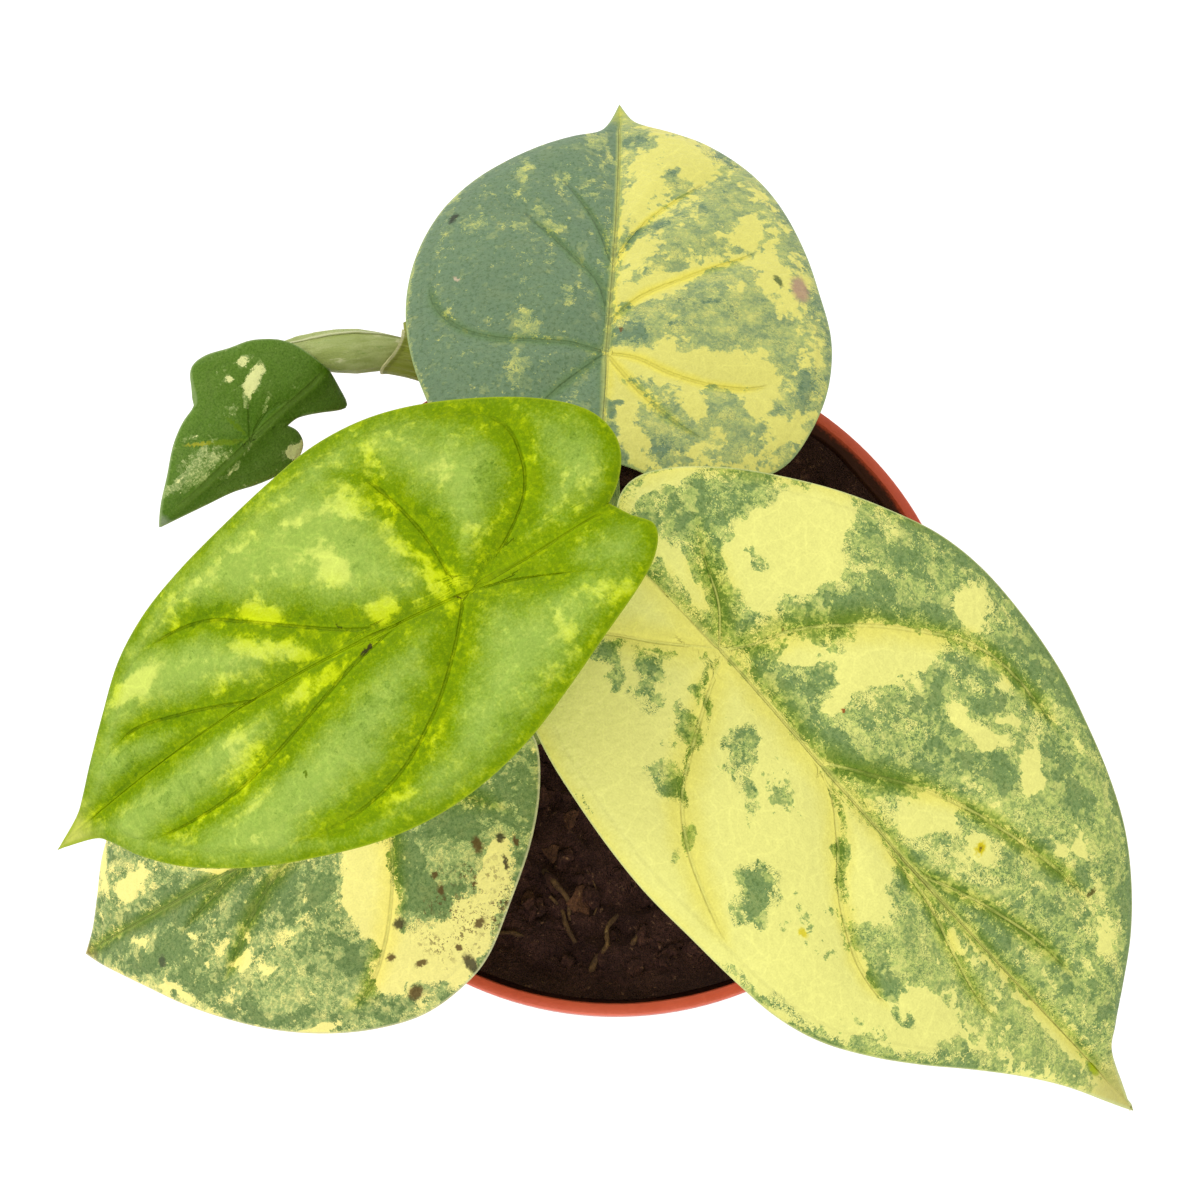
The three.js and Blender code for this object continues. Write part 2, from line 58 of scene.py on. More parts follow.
# %% Camera
TILT = math.radians(17)
LENS = 78
STANDPOINT = (0, -0.1316, 0.5253)
ASIDE, ABOVE = -0.0063, 0.0257      # how far the picture's middle lies off the tilted line of sight

forward = Vector((0, math.sin(TILT), -math.cos(TILT)))
upward = Vector((0, math.cos(TILT), math.sin(TILT)))
aim = (forward + ASIDE * Vector((1, 0, 0)) + ABOVE * upward).normalized()

bpy.ops.object.camera_add(location=STANDPOINT)
camera = bpy.context.object
camera.rotation_euler = aim.to_track_quat("-Z", "Y").to_euler()
camera.data.lens = LENS
camera.data.sensor_width = 36
camera.data.clip_start = 0.01
bpy.context.scene.camera = camera
print("camera", tuple(round(x, 3) for x in camera.location))

# %% [markdown]
# ## Studio
#
# A plain pale floor and soft light from all round, with one large softbox behind
# and to the left. It draws a grey sheen on the domes of the blades, and the leaf
# finishes also paint a sheen into the domes' colour.

# %% Studio
bpy.ops.mesh.primitive_plane_add(size=16, location=(0, 0, 0))
floor = bpy.context.object
floor.name = "floor"


def softbox(name, place, target, size, power):
    bpy.ops.object.light_add(type="AREA", location=place)
    light = bpy.context.object
    light.name = name
    light.data.shape = "RECTANGLE"
    light.data.size, light.data.size_y = size
    light.data.energy = power
    light.rotation_euler = (Vector(target) - Vector(place)).to_track_quat("-Z", "Y").to_euler()
    return light


softbox("key_light", (-0.55, 0.75, 0.95), (0, 0, 0.12), (0.7, 0.5), 6.2)
softbox("fill_light", (-0.15, -0.8, 0.85), (0, 0, 0.1), (0.7, 0.5), 3.6)

world = bpy.data.worlds.new("studio")
bpy.context.scene.world = world
world.use_nodes = True
backdrop = world.node_tree.nodes["Background"]
backdrop.inputs["Color"].default_value = (1, 1, 1, 1)
backdrop.inputs["Strength"].default_value = 0.75
bpy.context.scene.view_settings.view_transform = "Standard"

# %% [markdown]
# ## Blades
#
# A blade starts as a flat outline around the point where its petiole joins, with
# u running to the tip and v to the left, in millimetres. It bends down ahead of
# that point and behind it, folds up along the midrib and curls down to its
# margins. These are the numbers of the frame's own blades, so the finer blades
# lie exactly on them.

# %% The five leaves
LEAVES = {
    "back": dict(
        junction=(-2.4, 41.4, 133), heading=89, pitch=23, roll=0, droop=18, rear=30,
        fold=(3, 3), curl=(40, 40), bow=-0.6, puff=0.9, thick=1.0,
        left=[(-22, 0), (-25, 5), (-27.5, 12), (-25.5, 19.5), (-19, 25), (-10.5, 28.6), (-1, 31.8), (9, 33.8),
              (19.2, 34.3), (30, 33.1), (40.5, 30.1), (49, 25.5), (55.6, 20), (61, 14.1), (64.8, 8.4),
              (67.2, 3.6), (71.5, 1.5), (80, 0)],
        right=[(-22, 0), (-24, -5), (-27, -12), (-26.5, -21), (-21.5, -29), (-13.5, -33.5), (-3, -36.6),
               (9, -37.4), (21.4, -35.5), (31.8, -33.4), (42.5, -30.2), (51, -26.5), (57.8, -22), (64, -16),
               (67.7, -10), (70.2, -5), (73.2, -2.2), (80, 0)],
        veins=[[(0, 0), (-8, 7), (-16, 13), (-22, 20)],
               [(0, 0), (2, 6), (2.5, 12), (3, 18), (5.5, 24), (11, 28.5), (18, 30.3), (26, 30)],
               [(10, 0), (18, 2), (24, 6), (30, 10), (36, 14.5), (43, 19)],
               [(24, 0), (35, 3), (46, 8), (54, 13)],
               [(0, 0), (-9, -6), (-17, -14), (-20, -22)],
               [(0, 0), (-1, -5), (-4.5, -11), (-6.5, -18), (-6, -25), (-1, -32)],
               [(7, 0), (14, -5), (20, -13), (27, -23), (34, -30)],
               [(22, 0), (34, -5), (45, -13), (54, -21)]]),
    "left": dict(
        junction=(-21.6, -11.9, 169), heading=209, pitch=12, roll=-8, droop=30, rear=25,
        fold=(6, 6), curl=(45, 45), bow=-2.6, puff=1.6, thick=1.0,
        left=[(-24, -1.3), (-26, 2), (-28.3, 5), (-26.5, 8.4), (-22, 11.5), (-14, 15.4), (-5.3, 19.6), (3, 23),
              (12, 25.1), (21, 25.6), (30, 24.4), (38.5, 21.9), (46, 19.1), (52.5, 15.9), (58.5, 12.2),
              (63.5, 7.8), (67, 3.6), (69.8, 1.5), (77, 0)],
        right=[(-24, -1.3), (-26.8, -3.4), (-29.2, -6.7), (-29.7, -10.5), (-28, -14.7), (-23.5, -19),
               (-17, -23.2), (-9, -27), (0, -29.7), (9, -30.3), (17.5, -29), (27, -27), (36.2, -24.8),
               (44.2, -22.2), (51.3, -18.4), (57.6, -13.2), (63.3, -8.3), (67.8, -4.4), (71, -2.2), (77, 0)],
        veins=[[(0, 0), (-7, 2), (-14, 5), (-20, 8)],
               [(1, 1), (5, 6), (10, 11), (14, 14), (19, 17), (25, 19), (33, 19.6), (43, 17.5)],
               [(11, -1), (20, 1), (28, 3.6), (38, 6.6), (47, 8), (58, 7.4), (64, 4.5)],
               [(-1, 0), (-5, -2), (-9, -4), (-14, -8), (-16.5, -13), (-16.5, -19), (-11, -24.3), (-3, -26.6)],
               [(1, -2), (1, -9), (2.5, -16), (5, -22), (10, -26)],
               [(13, -2), (18, -4.4), (24, -8.4), (31, -13.4), (36, -16.4), (43, -17.6), (51, -16.5)],
               [(36, -3), (46, -6.5), (55, -8.5), (63, -6)]]),
    "right": dict(
        junction=(15.7, -13.5, 149), heading=-41.8, pitch=12, roll=0, droop=28, rear=30,
        fold=(8, 8), curl=(45, 45), bow=-2.4, puff=1.1, thick=1.0,
        left=[(-18.5, 0.5), (-22.5, 2.5), (-26.4, 5.6), (-27.3, 10), (-24.5, 15.2), (-18, 21.6), (-10.9, 26.7),
              (-3.5, 31.2), (4, 34.8), (12.3, 38), (21.1, 39.3), (31.3, 38.8), (41.3, 37.2), (50.2, 34.5),
              (58.4, 31.6), (66.3, 27.9), (73.2, 23.1), (79.5, 17.4), (84.8, 11.1), (89, 6), (93, 2.4),
              (104.3, -0.3)],
        right=[(-18.5, 0.5), (-23, -2.5), (-27, -6), (-28, -11), (-26, -17), (-21.5, -22.5), (-15, -27),
               (-7.9, -30), (0, -32), (8.6, -33.6), (17, -34.5), (26, -34.5), (35, -34.3), (44.2, -33.5),
               (52.2, -31.2), (60, -27), (67, -22.2), (74, -16.8), (81.2, -11.7), (87.7, -7.7), (94.1, -4.5),
               (104.3, -0.3)],
        veins=[[(0, 0), (-5, 5), (-12, 9), (-18, 14)],
               [(0, 0), (3, 4), (6, 10), (10, 15), (15, 20), (20, 24), (26, 28.2), (33, 30.3), (42, 30.2), (53, 28.5)],
               [(23, -1), (29, 2.4), (35, 6), (41, 9), (48, 11.4), (57, 13.6), (66, 15), (75, 14.5)],
               [(46, -2), (58, 2.4), (70, 5.2), (82, 5.5)],
               [(0, 0), (-7, -6), (-15, -12), (-19, -18)],
               [(1, -1), (4, -8), (7, -14), (10.5, -20), (15.5, -24.6), (22, -28), (30, -30.8), (38, -31.3)],
               [(14, -1), (23, -2.2), (28, -4.2), (33, -8.4), (38, -13.4), (43.5, -17), (50, -19.6), (62, -20.8)],
               [(41, -3.5), (50, -4.3), (58, -6.6), (67, -8.6), (77, -8.6)]]),
    "low": dict(
        junction=(-36.7, -26.2, 113), heading=201.9, pitch=24, roll=0, droop=25, rear=20,
        fold=(4, 4), curl=(40, 40), bow=0.8, puff=0.8, thick=1.0,
        left=[(-20, -4), (-24, -0.5), (-26.3, 4.5), (-24, 12), (-19.5, 19.1), (-13, 26), (-5.7, 32.6), (1, 35.5),
              (9, 36.7), (18, 35.4), (27, 32.4), (36, 27.9), (44.6, 22.2), (51.4, 16.9), (57.6, 11.3), (63, 6.5),
              (66.4, 3.5), (70.1, 0)],
        right=[(-20, -4), (-25, -7), (-27.5, -12), (-25.5, -18.5), (-20.5, -24.5), (-13, -29.5), (-4, -33),
               (6, -34.6), (16, -34.3), (26, -32.4), (36, -28.9), (45, -24.2), (52, -19.3), (58.3, -13.5),
               (62.7, -7.3), (66.2, -3), (70.1, 0)],
        veins=[[(0, 0), (-8, 5), (-16, 11), (-20, 16)],
               [(0, 0), (2, 8), (5, 16), (10, 24), (17, 30), (26, 30)],
               [(12, 0.4), (22, 4), (32, 10), (41, 17), (48, 18)],
               [(28, 0.8), (40, 4), (52, 8)],
               [(0, 0), (-8, -6), (-17, -13), (-20, -19)],
               [(0, 0), (1, -9), (4, -18), (9, -26), (18, -31)],
               [(12, 0.4), (22, -5), (32, -12), (42, -20)]]),
    "small": dict(
        junction=(-63.5, 35.4, 109), heading=223.2, pitch=12, roll=-20, droop=60, rear=150,
        fold=(-35, 0), curl=(0, 0), bow=0, puff=0.5, thick=0.8,
        left=[(-6.3, 2.7), (-7.2, 5.3), (-6.4, 8), (-3.3, 9.4), (0.8, 9), (5, 7.3), (8.9, 5), (13.6, 3.2),
              (18.1, 1.5), (22.2, 0)],
        right=[(-6.3, 2.7), (-9.4, 3.1), (-13.1, 5.3), (-18.6, 8.4), (-19, 4), (-18.3, -2), (-16.6, -7.9),
               (-12.4, -12), (-8.1, -13.9), (-4.3, -15.7), (-1.3, -15.8), (0.6, -13.6), (2.5, -10.9),
               (6.3, -10), (10.1, -8.3), (14.6, -5.2), (18.6, -2.7), (22.2, 0)],
        veins=[[(1, 0), (3, 3), (5, 6)],
               [(0, 0), (-6, -1.5), (-12, 1.5), (-16, 5)],
               [(0, 0), (-5, -6), (-8, -11)],
               [(1, 0), (4, -4), (7, -7.5)]]),
}

# %% Smooth curves through points
def spline(points, t):
    """A Catmull-Rom curve through the points, at t from 0 to 1, evenly spread over its spans."""
    points = np.asarray(points, float)
    last = len(points) - 1
    at = np.asarray(t, float) * last
    i = np.minimum(np.floor(at).astype(int), last - 1)
    w = (at - i)[:, None]
    a, b = points[np.maximum(i - 1, 0)], points[i]
    c, d = points[i + 1], points[np.minimum(i + 2, last)]
    va, vb = (c - a) / 2, (d - b) / 2
    return (2 * b - 2 * c + va + vb) * w ** 3 + (3 * c - 3 * b - 2 * va - vb) * w ** 2 + va * w + b


def dense(points, count):
    return spline(points, np.linspace(0, 1, count))


def turned(axis, degrees):
    c, s = math.cos(math.radians(degrees)), math.sin(math.radians(degrees))
    return {"x": np.array([[1, 0, 0], [0, c, -s], [0, s, c]]),
            "y": np.array([[c, 0, s], [0, 1, 0], [-s, 0, c]]),
            "z": np.array([[c, -s, 0], [s, c, 0], [0, 0, 1]])}[axis]


# %% Bending a blade
def midrib(leaf, u):
    tip = leaf["left"][-1][0]
    return np.where((u > 0) & (u < tip), leaf["bow"] * np.sin(np.pi * u / tip), 0)


def bend(leaf, u, v):
    k = np.radians(np.where(u >= 0, leaf["droop"], leaf["rear"])) / 100
    run, ahead = np.abs(u), np.sign(u)
    slope = -ahead * k * run
    mid_x, mid_z = ahead * np.sin(k * run) / k, -(1 - np.cos(k * run)) / k
    middle = midrib(leaf, u)
    on_left = v >= middle
    w = np.abs(v - middle)
    fold = np.radians(np.where(on_left, *leaf["fold"]))
    curl = np.radians(np.where(on_left, *leaf["curl"])) / 100
    curl = np.where(curl == 0, 1e-7, curl)
    y = (np.sin(fold) - np.sin(fold - curl * w)) / curl
    h = (np.cos(fold - curl * w) - np.cos(fold)) / curl
    return np.stack([mid_x - np.sin(slope) * h, middle + np.where(on_left, y, -y), mid_z + np.cos(slope) * h], -1)


def blade_normal(leaf, u, v):
    e = 0.05
    n = np.cross(bend(leaf, u + e, v) - bend(leaf, u - e, v), bend(leaf, u, v + e) - bend(leaf, u, v - e))
    return n / np.linalg.norm(n, axis=-1, keepdims=True)


def placed(leaf, points):
    turn = turned("z", leaf["heading"]) @ turned("y", leaf["pitch"]) @ turned("x", leaf["roll"])
    return points @ turn.T + np.array(leaf["junction"])


# %% [markdown]
# Every piece here starts as a flat grid primitive. A grid already has the right
# faces for a blade, a tube or a pot's wall, so all that shaping takes is a rule
# that says where each of its corners goes.

# %% A grid laid out by a rule
def sheet(name, columns, rows, rule):
    """A grid primitive whose corners go where rule(a, b) says, in millimetres; a and b run from 0 to 1."""
    bpy.ops.mesh.primitive_grid_add(x_subdivisions=columns, y_subdivisions=rows, size=2, location=(0, 0, 0))
    piece = bpy.context.object
    piece.name = piece.data.name = name
    corners = np.zeros(len(piece.data.vertices) * 3)
    piece.data.vertices.foreach_get("co", corners)
    a, b = (corners.reshape(-1, 3)[:, :2].T + 1) / 2
    piece.data.vertices.foreach_set("co", (rule(a, b) * MM).ravel())
    return piece


def store(piece, name, values):
    """Three numbers on every corner, for the finish to read."""
    attribute = piece.data.attributes.new(name, "FLOAT_VECTOR", "POINT")
    attribute.data.foreach_set("vector", np.asarray(values, np.float32).ravel())


def picked(*pieces):
    """Select only these pieces, with the first as the active one."""
    bpy.ops.object.select_all(action="DESELECT")
    for piece in pieces:
        piece.select_set(True)
    bpy.context.view_layer.objects.active = pieces[0]


def joined(name, pieces):
    """The pieces as one, under one name."""
    picked(*pieces)
    bpy.ops.object.join()
    pieces[0].name = pieces[0].data.name = name
    return pieces[0]


def edited(piece, operator, **settings):
    """Run a mesh operator on all of a piece."""
    picked(piece)
    bpy.ops.object.mode_set(mode="EDIT")
    bpy.ops.mesh.select_all(action="SELECT")
    operator(**settings)
    bpy.ops.object.mode_set(mode="OBJECT")


def welded(piece, reach=0.01, outward=True):
    """Merge the corners that meet at seams and poles, and point the faces outwards."""
    edited(piece, bpy.ops.mesh.remove_doubles, threshold=reach * MM)
    if outward:
        edited(piece, bpy.ops.mesh.normals_make_consistent, inside=False)
    return piece


def thickened(piece, thickness, **settings):
    """Give a sheet its thickness, in millimetres."""
    picked(piece)
    wall = piece.modifiers.new("thickness", "SOLIDIFY")
    wall.thickness = thickness * MM
    for key, value in settings.items():
        setattr(wall, key, value)
    bpy.ops.object.modifier_apply(modifier=wall.name)
    return piece


def placed_in(piece, slot, *nodes, angle=60):
    """Smooth a piece, tie it to the plant and hide the plain nodes it stands for; its slot is not used."""
    picked(piece)
    bpy.ops.object.shade_smooth_by_angle(angle=math.radians(angle))
    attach(piece, "root")
    if nodes:
        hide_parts(*nodes)
    print(piece.name, len(piece.data.polygons), "faces")
    return piece


# %% [markdown]
# The blade's grid follows its growth: rays run from the midrib, or for the rear
# lobes from the petiole's junction, out to the margin. s runs along the margin
# from the sinus to the tip and t along a ray.

# %% Rays from the midrib to the margin
LOBE_SHARE = 0.42       # the share of the margin that belongs to the rear lobe
RAY_BOW = 0.16          # how far a ray bows towards the tip, as a share of its length


def rays(leaf, side, s, t):
    tip = leaf["left"][-1][0]
    start = tip * np.maximum(0, (s - LOBE_SHARE) / (1 - LOBE_SHARE)) ** 1.15
    root = np.stack([start, midrib(leaf, start)], -1)
    rim = spline(leaf[side], s)
    ease = np.clip(s / 0.12, 0, 1)
    bow = RAY_BOW * np.linalg.norm(rim - root, axis=-1) * ease * ease * (3 - 2 * ease)
    control = (root + rim) / 2
    control[:, 1] += bow if side == "left" else -bow
    t = t[:, None]
    return (1 - t) ** 2 * root + 2 * t * (1 - t) * control + t * t * rim


# %% Distances on the blade
VEIN_POINTS = 40        # points that a vein's curve is cut into
FIRST_GAP = 12.0        # the spacing taken for the side of the first vein that has no neighbour


def to_line(points, line):
    """Distance from each point to a polyline, and on which side of it the point lies (positive is left)."""
    a, b = line[:-1], line[1:]
    along = b - a
    length = np.hypot(along[:, 0], along[:, 1])
    away = points[:, None] - a
    share = np.clip((away * along).sum(2) / length ** 2, 0, 1)
    gap = away - share[..., None] * along
    distance = np.hypot(gap[..., 0], gap[..., 1])
    least = distance.min(1)
    beside = (along[:, 0] * away[..., 1] - along[:, 1] * away[..., 0]) / length
    tied = distance < least[:, None] + 1e-6     # at a corner both of its segments count
    return least, np.sign((beside * tied).sum(1))


def lattice(leaf, side, points):
    """Where points of one half of a blade lie between its side veins: a number that is whole on each
    vein and runs evenly from one to the next, and the millimetres between the two."""
    sign = 1 if side == "left" else -1
    veins = [v for v in leaf["veins"] if (v[1][1] - midrib(leaf, v[1][0])) * sign > 0]
    gaps, ahead = [], []
    for vein in veins:
        line = dense(vein, VEIN_POINTS)
        end = line[-1] - line[-2]
        reach = line[-1] + end / np.linalg.norm(end) * 30
        gaps.append(to_line(points, np.vstack([line, reach]))[0])
        back = np.array([[-60.0, line[0, 1]]])
        ahead.append(to_line(points, np.vstack([back, line, reach]))[1] * sign < 0)
    tip = leaf["left"][-1][0]
    rib = np.stack([np.linspace(0, tip, 60), midrib(leaf, np.linspace(0, tip, 60))], -1)
    gaps.append(to_line(points, rib)[0])
    gaps, passed = np.array(gaps), np.array(ahead).sum(0)
    rows = np.arange(len(points))
    after = gaps[passed, rows]
    before = np.where(passed > 0, gaps[np.maximum(passed - 1, 0), rows], FIRST_GAP)
    first = passed == 0
    spacing = np.where(first, FIRST_GAP, before + after)
    number = np.where(first, -after / FIRST_GAP, passed - 1 + before / np.maximum(before + after, 1e-6))
    return number, spacing


def to_vein(points, vein):
    """Distance to a side vein, counted longer about its far end so that its crease runs out there."""
    line = dense(vein, VEIN_POINTS)
    to_end = np.linalg.norm(points - line[-1], axis=1)
    return to_line(points, line)[0] + 5 * np.clip(1 - to_end / 14, 0, 1) ** 2


# %% [markdown]
# ## Marbling
#
# Variegation comes from tissue layers that hold green or don't, each with its own
# ragged patches: where both do, the blade is deep green, where one does it is
# lime or grey green, and where neither does it is cream or yellow. So two
# pigment fields are laid on each blade as soft patches, and the finish breaks
# their borders up into cells. The patches are listed by kind, each as its
# strength, place (u, v), half length, half width, and turn in degrees. A hem is a
# patch along the margin: its kind, strength, side, first and last u, and width.

